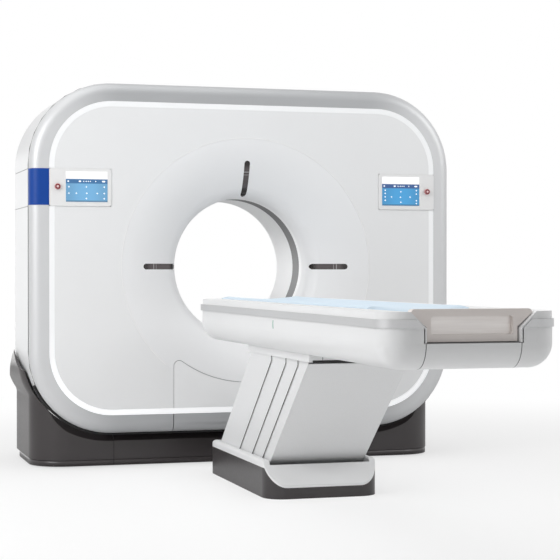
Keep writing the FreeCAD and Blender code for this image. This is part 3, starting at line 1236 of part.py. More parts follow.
board = new_body("cradle_board_body")
feature(board, "Pad", outline(sketch_on(board, "XZ_Plane", "foot_reach-bracket_sink-bracket_wall"), [
    ("board_half", "board_edge"), ("-board_half", "board_edge", dish("board_half", "board_dish"), -1),
    ("-board_half", "board_edge-7"), ("-board_flat", "board_low"), ("board_flat", "board_low"),
    ("board_half", "board_edge-7")]), "foot_reach-bracket_sink-bracket_wall-board_head", back=True)
piece("cradle_board", board)

mat = new_body("cradle_mat_body")
DISH = dish("board_half", "board_dish")
mat_drop = "(board_edge-board_dish+%s-sqrt(%s^2-mat_half^2)+seat_gap)" % (DISH, DISH)
feature(mat, "Pad", outline(sketch_on(mat, "XZ_Plane", "mat_foot"), [
    ("mat_half", mat_drop + "+mat_wall"), ("-mat_half", mat_drop + "+mat_wall", DISH, -1),
    ("-mat_half", mat_drop), ("mat_half", mat_drop, DISH, 1)]), "mat_foot-board_head-12", back=True)
piece("cradle_mat", mat)

bracket_rear = "-foot_reach+bracket_sink+bracket_wall"
piece("cradle_carriage", box("cradle_carriage", "-carriage_half", "carriage_half", bracket_rear,
                             "-carriage_head", "channel_low+seat_gap", "board_low"), bracket_rear)

bracket = new_body("foot_bracket_body")
feature(bracket, "Pad", outline(sketch_on(bracket, "XZ_Plane", "foot_reach-bracket_sink"), [
    ("-bracket_half", "bracket_low"), ("bracket_half", "bracket_low"), ("bracket_half", "bracket_waist"),
    ("bracket_top", "bracket_high-14"), ("bracket_top-14", "bracket_high", "14", 1),
    ("-bracket_top+14", "bracket_high"), ("-bracket_top", "bracket_high-14", "14", 1),
    ("-bracket_half", "bracket_waist")]), "bracket_wall", back=True)
pane_block = new_body("pane_block")
feature(pane_block, "Pad", outline(sketch_on(pane_block, "XZ_Plane", "foot_reach-bracket_sink+10"),
                                   rounded_box("pane_half", "pane_low", "pane_high", "10")),
        "pane_sink+pane_wall+10", back=True)
piece("foot_bracket", cut("foot_bracket", bracket, pane_block))
pane = new_body("bracket_window_body")
feature(pane, "Pad", outline(sketch_on(pane, "XZ_Plane", "foot_reach-bracket_sink-pane_sink"),
                             rounded_box("pane_half-seat_gap", "pane_low+seat_gap", "pane_high-seat_gap",
                                         "10-seat_gap")),
        "pane_wall", back=True)
piece("bracket_window", pane)

# ---------------------------------------------------------------- check and write

doc.recompute()
failed = [thing.Name for thing in doc.Objects if {"Invalid", "Error"} & set(thing.State)]
for name, thing in pieces.items():
    if thing.Shape.isNull() or not thing.Shape.isValid() or not thing.Shape.Solids:
        failed.append(name)
if failed:
    raise SystemExit("these did not come out whole: " + ", ".join(failed))
os.makedirs("parts", exist_ok=True)
for name, thing in pieces.items():
    thing.Shape.exportStep("parts/%s.step" % name)
print(len(pieces), "pieces written")
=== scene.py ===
"""A computed tomography scanner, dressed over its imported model: the gantry first, then the table."""
import bpy
import bmesh
import json
import math
from mathutils import Euler, Matrix, Vector


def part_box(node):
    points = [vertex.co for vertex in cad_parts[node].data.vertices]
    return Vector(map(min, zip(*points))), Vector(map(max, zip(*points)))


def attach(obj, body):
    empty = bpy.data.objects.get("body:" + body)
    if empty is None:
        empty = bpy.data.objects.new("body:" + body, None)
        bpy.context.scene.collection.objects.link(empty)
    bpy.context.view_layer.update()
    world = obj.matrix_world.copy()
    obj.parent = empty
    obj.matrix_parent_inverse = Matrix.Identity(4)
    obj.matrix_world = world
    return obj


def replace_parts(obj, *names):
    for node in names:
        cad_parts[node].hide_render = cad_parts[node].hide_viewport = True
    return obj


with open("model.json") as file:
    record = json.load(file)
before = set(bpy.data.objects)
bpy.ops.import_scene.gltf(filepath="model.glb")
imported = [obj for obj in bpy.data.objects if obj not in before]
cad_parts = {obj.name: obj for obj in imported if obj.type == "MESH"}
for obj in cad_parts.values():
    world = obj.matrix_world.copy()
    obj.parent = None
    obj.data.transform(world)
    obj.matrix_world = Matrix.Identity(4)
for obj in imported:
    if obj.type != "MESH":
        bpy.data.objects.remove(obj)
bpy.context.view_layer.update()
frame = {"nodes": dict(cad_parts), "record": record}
nodes = frame["nodes"]
scene = bpy.context.scene

# ---------------------------------------------------------------- camera
# The photographer stood at the table's foot end, a little to the left of it, with a long lens at the height
# of the bore, so that upright edges stay upright.

EYE, TILT_DOWN, TURN_RIGHT = (-2.181, -6.8325, 0.989), 0.007, 0.29176
LENS, SENSOR, SIGHT = 103.4, 36, 60
camera = bpy.data.objects.new("camera", bpy.data.cameras.new("camera"))
camera.location = EYE
camera.rotation_euler = Euler((math.radians(90) - TILT_DOWN, 0, -TURN_RIGHT))
camera.data.lens, camera.data.sensor_width, camera.data.clip_end = LENS, SENSOR, SIGHT
scene.collection.objects.link(camera)
scene.camera = camera
scene.view_settings.view_transform = "Standard"

# ---------------------------------------------------------------- studio paper
# A seamless sheet of white paper lies under the machine. Away from the machine it fades into the white of the
# backdrop, and near the machine it keeps the machine's shadow.


class Wire:
    """A socket of a shader tree that is added, multiplied or compared like a number."""

    def __init__(self, owner, socket):
        self.owner, self.socket = owner, socket

    def math(self, operation, *terms):
        return self.owner.node("ShaderNodeMath", {"operation": operation}, *terms)

    def __add__(self, other):
        return self.math("ADD", self, other)

    def __sub__(self, other):
        return self.math("SUBTRACT", self, other)

    def __rsub__(self, other):
        return self.math("SUBTRACT", other, self)

    def __mul__(self, other):
        return self.math("MULTIPLY", self, other)

    def __truediv__(self, other):
        return self.math("DIVIDE", self, other)

    def __pow__(self, other):
        return self.math("POWER", self, other)

    def __gt__(self, other):
        return self.math("GREATER_THAN", self, other)

    def __lt__(self, other):
        return self.math("LESS_THAN", self, other)

    def __abs__(self):
        return self.math("ABSOLUTE", self)

    __radd__, __rmul__ = __add__, __mul__

    def least(self, other):
        return self.math("MINIMUM", self, other)

    def most(self, other):
        return self.math("MAXIMUM", self, other)

    def wave(self):
        return self.math("SINE", self)

    def rise(self, start, end):
        """0 below start and 1 above end, with a soft step between them."""
        return self.owner.node("ShaderNodeMapRange", {"interpolation_type": "SMOOTHSTEP"}, self, start, end)


class ShaderTree:
    """A shader tree whose nodes are added one call at a time."""

    def __init__(self, tree):
        self.tree = tree

    def feed(self, socket, value):
        if isinstance(value, Wire):
            self.tree.links.new(value.socket, socket)
        elif isinstance(value, tuple) and len(value) == 3 and len(socket.default_value) == 4:
            socket.default_value = (*value, 1)
        else:
            socket.default_value = value

    def node(self, kind, settings=None, *inputs, out=0, **named):
        """Any node: its settings first, then the values or wires of its sockets."""
        made = self.tree.nodes.new(kind)
        for key, value in (settings or {}).items():
            setattr(made, key, value)
        for key, value in [*enumerate(inputs), *named.items()]:
            if value is not None:
                self.feed(made.inputs[key.replace("_", " ") if isinstance(key, str) else key], value)
        return Wire(self, made.outputs[out])

    def ray(self, kind):
        """1 for rays of this kind, such as those that the camera sends, and 0 for all others."""
        return self.node("ShaderNodeLightPath", out=kind)

    def show(self, surface, output):
        """Let this shader be what the tree shows."""
        self.feed(self.tree.nodes[output].inputs["Surface"], surface)


class Finish(ShaderTree):
    """A material of one principled shader."""

    def __init__(self, name, colour, roughness, metallic=0.0, coat=0.0):
        self.material = bpy.data.materials.new(name)
        self.material.use_nodes = True
        super().__init__(self.material.node_tree)
        self.shader = self.tree.nodes["Principled BSDF"]
        self.put("Base Color", (*colour, 1)).put("Roughness", roughness)
        self.put("Metallic", metallic).put("Coat Weight", coat)
        self.place = self.node("ShaderNodeTexCoord", out="Object")

    def put(self, socket, value):
        """Give one of the shader's own sockets a constant or a wire."""
        self.feed(self.shader.inputs[socket], value)
        return self

    def noise(self, scale, detail=2.0, place=None):
        return self.node("ShaderNodeTexNoise", None, place or self.place, Scale=scale, Detail=detail)

    def stretched(self, x, y, z):
        """Object coordinates scaled along each axis, so that a pattern runs one way."""
        return self.node("ShaderNodeMapping", None, self.place, Scale=(x, y, z))

    def axis(self, name):
        return self.node("ShaderNodeSeparateXYZ", None, self.place, out=name)

    def away_from(self, first, at_first, second, at_second):
        """Distance from a line, measured across the two named axes."""
        return ((self.axis(first) - at_first) ** 2 + (self.axis(second) - at_second) ** 2) ** 0.5

    def blend(self, share, first, second):
        """One colour into another. Five other sockets lie between the factor and the two colours."""
        return self.node("ShaderNodeMix", {"data_type": "RGBA"}, share, *[None] * 5, first, second, out=2)

    def over(self, share, colour):
        """Lay one more colour over the base colour, as strongly as the share says."""
        base = self.shader.inputs["Base Color"]
        under = Wire(self, base.links[0].from_socket) if base.links else tuple(base.default_value[:3])
        return self.put("Base Color", self.blend(share, under, colour))

    def bump(self, height, depth, strength=1.0):
        return self.put("Normal", self.node("ShaderNodeBump", None, Strength=strength, Distance=depth,
                                            Height=height, out="Normal"))

    def on(self, *names):
        """Put the finish on these CAD nodes or pieces."""
        for name in names:
            thing = nodes.get(name) or bpy.data.objects[name]
            for slot in thing.material_slots:
                slot.material = self.material
            if not thing.material_slots:
                thing.data.materials.append(self.material)
        return self


PAPER_REACH = 14.0
paper = bpy.data.objects.new("floor", bpy.data.meshes.new("floor"))
paper_corners = [(x * PAPER_REACH, y * PAPER_REACH, 0) for x, y in ((-1, -1), (1, -1), (1, 1), (-1, 1))]
paper.data.from_pydata(paper_corners, [], [(0, 1, 2, 3)])
scene.collection.objects.link(paper)
sheet = Finish("seamless_paper", (0.94, 0.94, 0.94), 0.75)
sheet.put("Specular IOR Level", 0.1).put("Base Color", sheet.blend(sheet.noise(30.0), (0.93, 0.93, 0.93),
                                                                  (0.95, 0.95, 0.95)))
sheet.on("floor")

NEAR_WHITE, FADE_START, FADE_END = 0.62, 2.0, 5.5
bright = sheet.node("ShaderNodeEmission", None, (1.0, 1.0, 1.0), 1.0)
fade = NEAR_WHITE + (1.0 - NEAR_WHITE) * sheet.away_from("X", 0.0, "Y", 0.0).rise(FADE_START, FADE_END)
paper_shader = Wire(sheet, sheet.shader.outputs[0])
sheet.show(sheet.node("ShaderNodeMixShader", None, sheet.ray("Is Camera Ray") * fade, paper_shader, bright),
           "Material Output")

# ---------------------------------------------------------------- studio air and lamps
# White walls all round give an even light. A large soft box on the left lights the gantry's face and all left
# sides, a weaker one stands on the right, one hangs over the table, and one behind lights the bore from its
# rear.

WALL_LIGHT = 0.38
world = bpy.data.worlds.new("studio")
scene.world = world
world.use_nodes = True
air = ShaderTree(world.node_tree)
air.tree.nodes.remove(air.tree.nodes["Background"])
walls = air.node("ShaderNodeBackground", None, (1.0, 1.0, 1.0), WALL_LIGHT)
backdrop = air.node("ShaderNodeBackground", None, (1.0, 1.0, 1.0), 1.0)
direct = air.ray("Is Camera Ray").most(air.ray("Is Glossy Ray")).most(air.ray("Is Transmission Ray"))
air.show(air.node("ShaderNodeMixShader", None, direct, walls, backdrop), "World Output")

for name, place, aim, width, height, power in (
        ("softbox_left", (-4.4, -1.5, 2.8), (0.2, 1.0, 1.0), 2.6, 2.6, 122),
        ("softbox_over_table", (-0.4, 0.0, 4.7), (0.0, 0.1, 0.5), 4.2, 3.4, 62),
        ("softbox_right", (3.9, -1.4, 3.2), (0.1, 1.0, 1.0), 2.4, 2.4, 58),
        ("softbox_behind", (-1.0, 5.6, 1.1), (0.1, 1.2, 1.0), 2.2, 1.8, 22)):
    lamp = bpy.data.objects.new(name, bpy.data.lights.new(name, "AREA"))
    lamp.data.shape, lamp.data.size, lamp.data.size_y, lamp.data.energy = "RECTANGLE", width, height, power
    lamp.location = place
    lamp.rotation_euler = (Vector(aim) - Vector(place)).to_track_quat("-Z", "Y").to_euler()
    scene.collection.objects.link(lamp)

# ---------------------------------------------------------------- base frame and its levelling feet
# The gantry stands on a welded frame of box beams, powder coated grey. Its six turned feet are screwed up and
# down until the gantry is level.


def powder_coat(name, colour, roughness=0.5, peel=0.0002):
    """Powder-coated steel: a fine orange peel with a faint speckle."""
    finish = Finish(name, colour, roughness)
    speckle = finish.noise(520.0, 1.0)
    finish.put("Base Color", finish.blend(speckle, tuple(0.9 * c for c in colour),
                                          tuple(1.08 * c for c in colour)))
    finish.put("Roughness", roughness - 0.05 + finish.noise(3.0) * 0.1)
    return finish.bump(finish.noise(260.0, 2.0), peel, 0.6)


BORE_HEIGHT = 1.0


def turned(name, colour, roughness=0.32, centre=("X", 0.0, "Z", BORE_HEIGHT), pitch=0.0012):
    """Metal turned on a lathe: fine rings round its axis, and a duller cloud here and there."""
    finish = Finish(name, colour, roughness, 1.0)
    rings = (finish.away_from(*centre) * (math.tau / pitch)).wave()
    cloud = finish.noise(9.0, 3.0)
    finish.put("Base Color", finish.blend(cloud, tuple(0.88 * c for c in colour), colour))
    finish.put("Roughness", roughness - 0.06 + cloud * 0.12)
    return finish.bump(rings, 0.00003, 0.5)


powder_coat("frame_coat", (0.10, 0.115, 0.135)).on("base_frame")
turned("foot_steel", (0.27, 0.27, 0.275), 0.35, ("X", 0.645, "Y", 1.2)).on("levelling_feet")

# ---------------------------------------------------------------- plinth, the painted shade under the ring and floor skirting
# Four dark brown-grey mouldings with a satin film clip round the base frame, with black rubber in their two
# front joints. A black strip in the gap under the ring is painted shade, standing in for the shadow there. A
# skirting in the same film hangs below them, a few millimetres clear of the floor, and hides all but the
# lowest edge of the feet.


def path_of(points, closed=False):
    """The edges of a line through these points, as a new mesh."""
    mesh = bpy.data.meshes.new("path")
    edges = [(i, i + 1) for i in range(len(points) - 1)]
    mesh.from_pydata(points, edges + [(len(points) - 1, 0)] * closed, [])
    return mesh


def rule(name, inputs, build):
    """A tree of Geometry Nodes with named inputs. build adds its nodes and returns the last geometry."""
    tree = bpy.data.node_groups.new(name, "GeometryNodeTree")
    tree.interface.new_socket("Path", in_out="INPUT", socket_type="NodeSocketGeometry")
    for label, kind in inputs:
        tree.interface.new_socket(label, in_out="INPUT", socket_type="NodeSocket" + kind)
    tree.interface.new_socket("Piece", in_out="OUTPUT", socket_type="NodeSocketGeometry")
    start, end = tree.nodes.new("NodeGroupInput"), tree.nodes.new("NodeGroupOutput")

    def add(kind, settings=(), **sockets):
        made = tree.nodes.new(kind)
        for key, value in dict(settings).items():
            setattr(made, key, value)
        for key, value in sockets.items():
            socket = made.inputs[key.replace("_", " ")]
            if isinstance(value, bpy.types.NodeSocket):
                tree.links.new(value, socket)
            else:
                socket.default_value = value
        return made.outputs[0]

    shape = add("GeometryNodeRealizeInstances", Geometry=build(add, start.outputs))
    shape = add("GeometryNodeSetMaterial", Geometry=shape, Material=start.outputs["Finish"])
    tree.links.new(shape, end.inputs[0])
    return tree


def grown(name, tree, path, body, slot, finish, **sizes):
    """A plain mesh grown along a path by a tree, which rides on a body."""
    piece = bpy.data.objects.new(name, path)
    scene.collection.objects.link(piece)
    modifier = piece.modifiers.new("rule", "NODES")
    modifier.node_group = tree
    sizes["Finish"] = finish.material
    for socket in tree.interface.items_tree:
        if socket.in_out == "INPUT" and socket.name in sizes:
            modifier[socket.identifier] = sizes[socket.name]
    bpy.context.view_layer.update()
    shape = bpy.data.meshes.new_from_object(piece.evaluated_get(bpy.context.evaluated_depsgraph_get()))
    piece.modifiers.remove(modifier)
    piece.data = shape
    shape.name = name
    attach(piece, body)
    return piece


def sweep_strip(add, given):
    """A strip swept along the path, whose thickness lies along the given side and its width across it."""
    curve = add("GeometryNodeMeshToCurve", Mesh=given["Path"])
    curve = add("GeometryNodeSetCurveNormal", {"mode": "FREE"}, Curve=curve, Normal=given["Side"])
    section = add("GeometryNodeCurvePrimitiveQuadrilateral", Width=given["Thickness"], Height=given["Width"])
    return add("GeometryNodeCurveToMesh", Curve=curve, Profile_Curve=section, Fill_Caps=True)


strip_rule = rule("swept_strip", [("Side", "Vector"), ("Width", "Float"), ("Thickness", "Float"),
                                  ("Finish", "Material")], sweep_strip)


def arc(across, up, radius, start, end, steps=16):
    """Points on an arc, in degrees from the first axis to the second."""
    turns = [math.radians(start + (end - start) * i / steps) for i in range(steps + 1)]
    return [(across + radius * math.cos(t), up + radius * math.sin(t)) for t in turns]


def rounded(half, low, high, radius):
    """The outline of a round-cornered rectangle that stands across the first axis."""
    corners = ((half, low, -90), (half, high, 0), (-half, high, 90), (-half, low, 180))
    outline = []
    for across, up, start in corners:
        middle = (across - math.copysign(radius, across), up + (radius if up == low else -radius))
        outline += arc(*middle, radius, start, start + 90, 8)
    return outline


def satin_film(name, colour):
    """A satin film on a dark moulding: slow drifts of tone and a fine grain."""
    finish = Finish(name, colour, 0.3)
    finish.put("Base Color", finish.blend(finish.noise(2.2, 3.0), tuple(0.86 * c for c in colour), colour))
    finish.put("Roughness", 0.27 + finish.noise(60.0, 2.0) * 0.08)
    return finish.bump(finish.noise(1300.0, 1.0), 0.00008, 0.4)


def soft_rubber(name, shade=0.012, rib=0.0):
    """Matt rubber with a fine grain, or with ribs at an even pitch across the gantry's depth."""
    finish = Finish(name, (shade, shade, shade), 0.8)
    finish.put("Base Color", finish.blend(finish.noise(25.0), (shade, shade, shade), (1.6 * shade,) * 3))
    if rib:
        return finish.bump((finish.axis("Y") * (math.tau / rib)).wave(), 0.2 * rib, 0.7)
    return finish.bump(finish.noise(700.0, 1.0), 0.0002, 0.5)


plinth_film = satin_film("plinth_film", (0.041, 0.035, 0.036))
plinth_film.on("plinth_corner_left", "plinth_corner_right", "plinth_front", "plinth_rear")
# Black rubber for the plinth's front joints; the same black also serves as painted shade in the gap under the
# ring.
joint_rubber_and_gap_shade = soft_rubber("joint_rubber_and_gap_shade")

RING_HALF, RING_LOW, RING_TOP, RING_ROUND = 1.096, 0.176, 1.906, 0.406
# Painted shade: a black strip fills the gap under the ring, where there is only shadow between the ring and the
# plinth.
GAP_SHADE_FRONT, GAP_SHADE_REAR, GAP_SHADE_DEPTH, GAP_SHADE_CLEAR, GAP_SHADE_REACH = 1.064, 1.1035, 0.012, 0.0008, 66
gap_shade_middle = (GAP_SHADE_FRONT + GAP_SHADE_REAR) / 2
gap_shade_round = RING_ROUND + GAP_SHADE_DEPTH / 2 + GAP_SHADE_CLEAR
gap_shade_line = arc(RING_ROUND - RING_HALF, RING_LOW + RING_ROUND, gap_shade_round, 270 - GAP_SHADE_REACH, 270)
gap_shade_line += arc(RING_HALF - RING_ROUND, RING_LOW + RING_ROUND, gap_shade_round, 270, 270 + GAP_SHADE_REACH)
grown("gap_seal", strip_rule, path_of([(x, gap_shade_middle, z) for x, z in gap_shade_line]), "frame", "belt_rubber",
      joint_rubber_and_gap_shade, Side=(0, 1, 0), Width=GAP_SHADE_DEPTH, Thickness=GAP_SHADE_REAR - GAP_SHADE_FRONT)

PLINTH_HALF, PLINTH_ROUND = 1.066, 0.18
SKIRTING_SET, SKIRTING_MIDDLE, SKIRTING_THICK, SKIRTING_TALL = 0.005, 0.022, 0.006, 0.031
plinth_front_face, plinth_rear_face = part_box("plinth_front")[0][1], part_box("plinth_rear")[1][1]
skirting_line = rounded(PLINTH_HALF - SKIRTING_SET, plinth_front_face + SKIRTING_SET,
                        plinth_rear_face - SKIRTING_SET, PLINTH_ROUND - SKIRTING_SET)
skirting_path = path_of([(x, y, SKIRTING_MIDDLE) for x, y in skirting_line], closed=True)
grown("floor_skirting", strip_rule, skirting_path, "frame", "skirt_dark", plinth_film,
      Side=(0, 0, 1), Width=SKIRTING_THICK, Thickness=SKIRTING_TALL)

PLINTH_JOINT, PLINTH_JOINT_HEIGHTS = 0.665, (0.007, 0.100, 0.158)
PLINTH_JOINT_WIDE, PLINTH_JOINT_THICK, PLINTH_JOINT_PROUD = 0.003, 0.0012, 0.0004
for side, sign in (("left", -1), ("right", 1)):
    joint_line = [(sign * PLINTH_JOINT, plinth_front_face - PLINTH_JOINT_PROUD, z)
                  for z in PLINTH_JOINT_HEIGHTS]
    grown("plinth_joint_" + side, strip_rule, path_of(joint_line), "frame", "belt_rubber", joint_rubber_and_gap_shade,
          Side=(0, 1, 0), Width=PLINTH_JOINT_WIDE, Thickness=PLINTH_JOINT_THICK)

# ---------------------------------------------------------------- stator, bearing, drum and slip ring
# A steel plate frame holds the main bearing. The aluminium drum turns in it with the tube and detector, and
# takes its current through the brass tracks of the slip ring.

powder_coat("stator_coat", (0.13, 0.15, 0.17)).on("stator_frame")
turned("bearing_steel", (0.36, 0.37, 0.38), 0.22, pitch=0.002).on("bearing_race")
turned("drum_metal", (0.40, 0.41, 0.43), 0.34).on("rotor_drum")
turned("slip_brass", (0.45, 0.27, 0.08), 0.25, pitch=0.003).on("slip_ring")


def set_in_row(add, given):
    """Small pieces set along the path at an even spacing, each turned to follow it."""
    curve = add("GeometryNodeMeshToCurve", Mesh=given["Path"])
    points = add("GeometryNodeResampleCurve", {"mode": "LENGTH"}, Curve=curve, Length=given["Spacing"])
    turn = add("FunctionNodeAlignRotationToVector", {"axis": "X", "pivot_axis": "Y"},
               Vector=add("GeometryNodeInputTangent"))
    piece = add("GeometryNodeObjectInfo", Object=given["Sample"])
    whole = [n for n in piece.node.outputs if n.name == "Geometry"][0]
    return add("GeometryNodeInstanceOnPoints", Points=points, Instance=whole, Rotation=turn)


row_rule = rule("set_in_row", [("Sample", "Object"), ("Spacing", "Float"), ("Finish", "Material")],
                set_in_row)


def sample(name, build):
    """A small piece that a row repeats: it is built round the origin, and deleted after use."""
    mesh, shape = bpy.data.meshes.new(name), bmesh.new()
    build(shape)
    bmesh.ops.recalc_face_normals(shape, faces=shape.faces)
    shape.to_mesh(mesh)
    shape.free()
    piece = bpy.data.objects.new(name, mesh)
    scene.collection.objects.link(piece)
    return piece


def socket_head(radius, height, facing=-1):
    """A low round head whose face is sunk inside a rim. It faces the table, or the rear if facing is 1."""
    def build(shape):
        lay = Matrix.Rotation(math.radians(90 * -facing), 4, "X") @ Matrix.Translation((0, 0, height / 2))
        bmesh.ops.create_cone(shape, cap_ends=True, segments=18, radius1=radius, radius2=0.9 * radius,
                              depth=height, matrix=lay)
        top = max(shape.faces, key=lambda face: face.calc_center_median().y * facing)
        bmesh.ops.inset_region(shape, faces=[top], thickness=0.42 * radius)
        bmesh.ops.translate(shape, verts=top.verts, vec=(0, -facing * 0.6 * height, 0))
    return build


SCREW_CIRCLE, SCREW_COUNT, SCREW_HEAD = 0.411, 24, 0.009
screw_steel = turned("screw_steel", (0.20, 0.20, 0.21), 0.3)
cap_screw = sample("cap_screw", socket_head(SCREW_HEAD, SCREW_HEAD))
race_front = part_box("bearing_race")[0][1]
screw_line = [(x, race_front, z) for x, z in arc(0.0, BORE_HEIGHT, SCREW_CIRCLE, 0, 360, 64)[:-1]]
grown("bearing_screws", row_rule, path_of(screw_line, closed=True), "frame", "bearing_steel", screw_steel,
      Sample=cap_screw, Spacing=math.tau * SCREW_CIRCLE / SCREW_COUNT)
bpy.data.objects.remove(cap_screw)

# ---------------------------------------------------------------- tube, collimator, detector and generator
# The X-ray tube in its cast housing hangs on the drum opposite the curved detector. The collimator in front
# of the tube shapes the fan of rays, and the generator's steel case is screwed on beside them.

powder_coat("tube_housing_coat", (0.21, 0.23, 0.26), 0.4).on("xray_tube")
powder_coat("collimator_coat", (0.07, 0.075, 0.08), 0.45).on("collimator")
powder_coat("generator_coat", (0.075, 0.09, 0.12), 0.5).on("high_voltage_generator")
powder_coat("detector_coat", (0.06, 0.065, 0.075), 0.4).on("detector_arc")

# ---------------------------------------------------------------- drive motor, pulley and belt
# The painted motor, low on the left, turns the drum through a ribbed black belt on a turned steel pulley. On
# the real machine its foot is screwed to the base frame; this model has no such foot.

powder_coat("motor_paint", (0.022, 0.027, 0.032), 0.4).on("drive_motor")
turned("pulley_steel", (0.30, 0.30, 0.31), 0.3, ("X", -0.70, "Z", 0.33)).on("motor_pulley")
soft_rubber("ribbed_rubber", 0.008, rib=0.004).on("drive_belt")

# ---------------------------------------------------------------- bore liner and rear funnel
# A thin white tube lines the bore between the two funnels. The rear funnel is the narrower of the two and
# carries no windows.


def moulded(name, colour, roughness=0.36, coat=0.0, grain=0.00009):
    """Sprayed or moulded plastic: faint drifts of tone over a hand's breadth, and an even fine grain."""
    finish = Finish(name, colour, roughness, coat=coat)
    drift = finish.noise(1.7, 3.0)
    finish.put("Base Color", finish.blend(drift, tuple(0.975 * c for c in colour),
                                          tuple(min(1.0, 1.02 * c) for c in colour)))
    finish.put("Roughness", roughness - 0.03 + finish.noise(45.0, 1.0) * 0.06)
    return finish.bump(finish.noise(1100.0, 1.0), grain, 0.4)


moulded("liner_white", (0.88, 0.885, 0.89)).on("rear_funnel", "bore_liner")

# ---------------------------------------------------------------- scan window
# Where the rays cross the bore, a band of thin grey film lets them through. It is slightly glossy and is let
# into the inner face of the liner, nearer its front end.

moulded("scan_film", (0.085, 0.085, 0.089), 0.45).on("scan_window")

# ---------------------------------------------------------------- side, top and rear covers
# White sprayed shells hang on the frame. On the side shells two dark lines run on from the edges of the
# control panels, and the rear shell is held by quarter-turn fasteners under low round caps.

PANEL_LOW, PANEL_HIGH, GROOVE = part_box("control_panel_left")[0][2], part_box("control_panel_left")[1][2], 0.0020
SHELL_WHITE = (0.72, 0.725, 0.73)
side_white = moulded("side_shell_white", SHELL_WHITE).put("Specular IOR Level", 0.1)
up = side_white.axis("Z")
groove = (abs(up - PANEL_LOW) < GROOVE).most(abs(up - PANEL_HIGH) < GROOVE)
side_white.over(groove, (0.30, 0.30, 0.31)).on("side_cover_left", "side_cover_right")
moulded("rear_shell_white", SHELL_WHITE).on("rear_cover", "top_cover")

CAP_RADIUS, CAP_HIGH, CAP_SUNK, CAP_SPACING = 0.014, 0.0015, 0.0002, 0.44
CAPS_HALF, CAPS_LOW, CAPS_TOP, CAPS_ROUND = 0.74, 0.52, 1.58, 0.20
rear_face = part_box("rear_cover")[1][1]
turn_cap = sample("turn_cap", socket_head(CAP_RADIUS, CAP_HIGH, 1))
cap_line = [(x, rear_face - CAP_SUNK, z) for x, z in rounded(CAPS_HALF, CAPS_LOW, CAPS_TOP, CAPS_ROUND)]
grown("rear_fasteners", row_rule, path_of(cap_line, closed=True), "frame", "panel_white",
      moulded("cap_grey", (0.62, 0.625, 0.63), 0.4), Sample=turn_cap, Spacing=CAP_SPACING)
bpy.data.objects.remove(turn_cap)

# ---------------------------------------------------------------- front ring
# The ring round the face is a polyurethane moulding, crowned at its outer edge, in silver-grey satin paint.
# Its upright sides are painted paler, a painted highlight for the light that falls on them. A grey gasket
# parts it from the shells behind.

RING_SILVER, RING_SIDE_HIGHLIGHT, SIDE_HIGHLIGHT_START, SIDE_HIGHLIGHT_END = (0.41, 0.417, 0.427), (0.645, 0.651, 0.66), 0.62, 1.0
SERVICE_HALF, SERVICE_FOOT, SERVICE_JOINT = 0.3838, 0.30, 0.003
ring_paint = Finish("ring_silver", RING_SILVER, 0.45, 0.25)
flakes = ring_paint.noise(1600.0, 1.0)
ring_paint.put("Base Color", ring_paint.blend(flakes, tuple(0.94 * c for c in RING_SILVER),
                                              tuple(1.05 * c for c in RING_SILVER)))
ring_paint.put("Roughness", 0.42 + ring_paint.noise(5.0, 2.0) * 0.06).bump(flakes, 0.00004, 0.3)
# Painted highlight: towards the upright sides the silver is blended to a paler one, standing in for the light
# that falls on them.
from_centre = abs(ring_paint.axis("X"))
upright = from_centre.rise(SIDE_HIGHLIGHT_START, SIDE_HIGHLIGHT_END)
service_joint = (abs(from_centre - SERVICE_HALF) < SERVICE_JOINT) * (ring_paint.axis("Z") < SERVICE_FOOT)
ring_paint.over(upright * 0.9, RING_SIDE_HIGHLIGHT).over(service_joint, (0.02, 0.02, 0.02)).on("front_ring")

GASKET, GASKET_PROUD = 0.004, 0.0005
gasket_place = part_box("front_ring")[1][1] + GASKET / 2
gasket_edge = rounded(RING_HALF + GASKET_PROUD, RING_LOW, RING_TOP, RING_ROUND)
gasket_line = [(x, gasket_place, z) for x, z in gasket_edge]
grown("ring_gasket", strip_rule, path_of(gasket_line, closed=True), "frame", "belt_rubber",
      soft_rubber("gasket_grey", 0.10), Side=(0, 1, 0), Width=GASKET, Thickness=GASKET)

# ---------------------------------------------------------------- light band
# A translucent acrylic strip is clipped in between the ring and the face. Lamps behind it make it glow
# softly, most of all along its foot.

band_light = moulded("band_light", (0.88, 0.89, 0.90), 0.3)
along_foot = 1.0 - band_light.axis("Z").rise(0.30, 0.75)
band_light.put("Emission Color", band_light.blend(along_foot, (0.07, 0.07, 0.07), (0.27, 0.27, 0.275)))
band_light.put("Emission Strength", 1.0).on("light_band")

# ---------------------------------------------------------------- face, funnel and service cover
# The white face and its funnel are two shells that meet in a fine raised bead. The bead is whiter than the
# face, a painted highlight along the crease. The service cover below takes in a stretch of the ring, so its
# foot is sprayed silver to match, and its white is paler than the face's: painted light against the shadow
# that the table casts on it.

moulded("face_white", (0.81, 0.815, 0.82)).on("front_cover")
moulded("funnel_white", (0.825, 0.83, 0.838), 0.5).on("front_funnel")

FLARE_RADIUS, BEAD_WIDE, BEAD_THICK, BEAD_PROUD = 0.6475, 0.0030, 0.0020, 0.0002
bead_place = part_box("front_cover")[0][1] - BEAD_PROUD
bead_line = [(x, bead_place, z) for x, z in arc(0.0, BORE_HEIGHT, FLARE_RADIUS, -49, 229, 160)]
# Painted highlight: the bead is whiter than the face, standing in for the light line along the crease.
grown("funnel_bead", strip_rule, path_of(bead_line), "frame", "cover_white",
      moulded("bead_painted_highlight", (0.9, 0.9, 0.9)), Side=(0, 1, 0), Width=BEAD_WIDE, Thickness=BEAD_THICK)

SILVER_TOP = 0.281
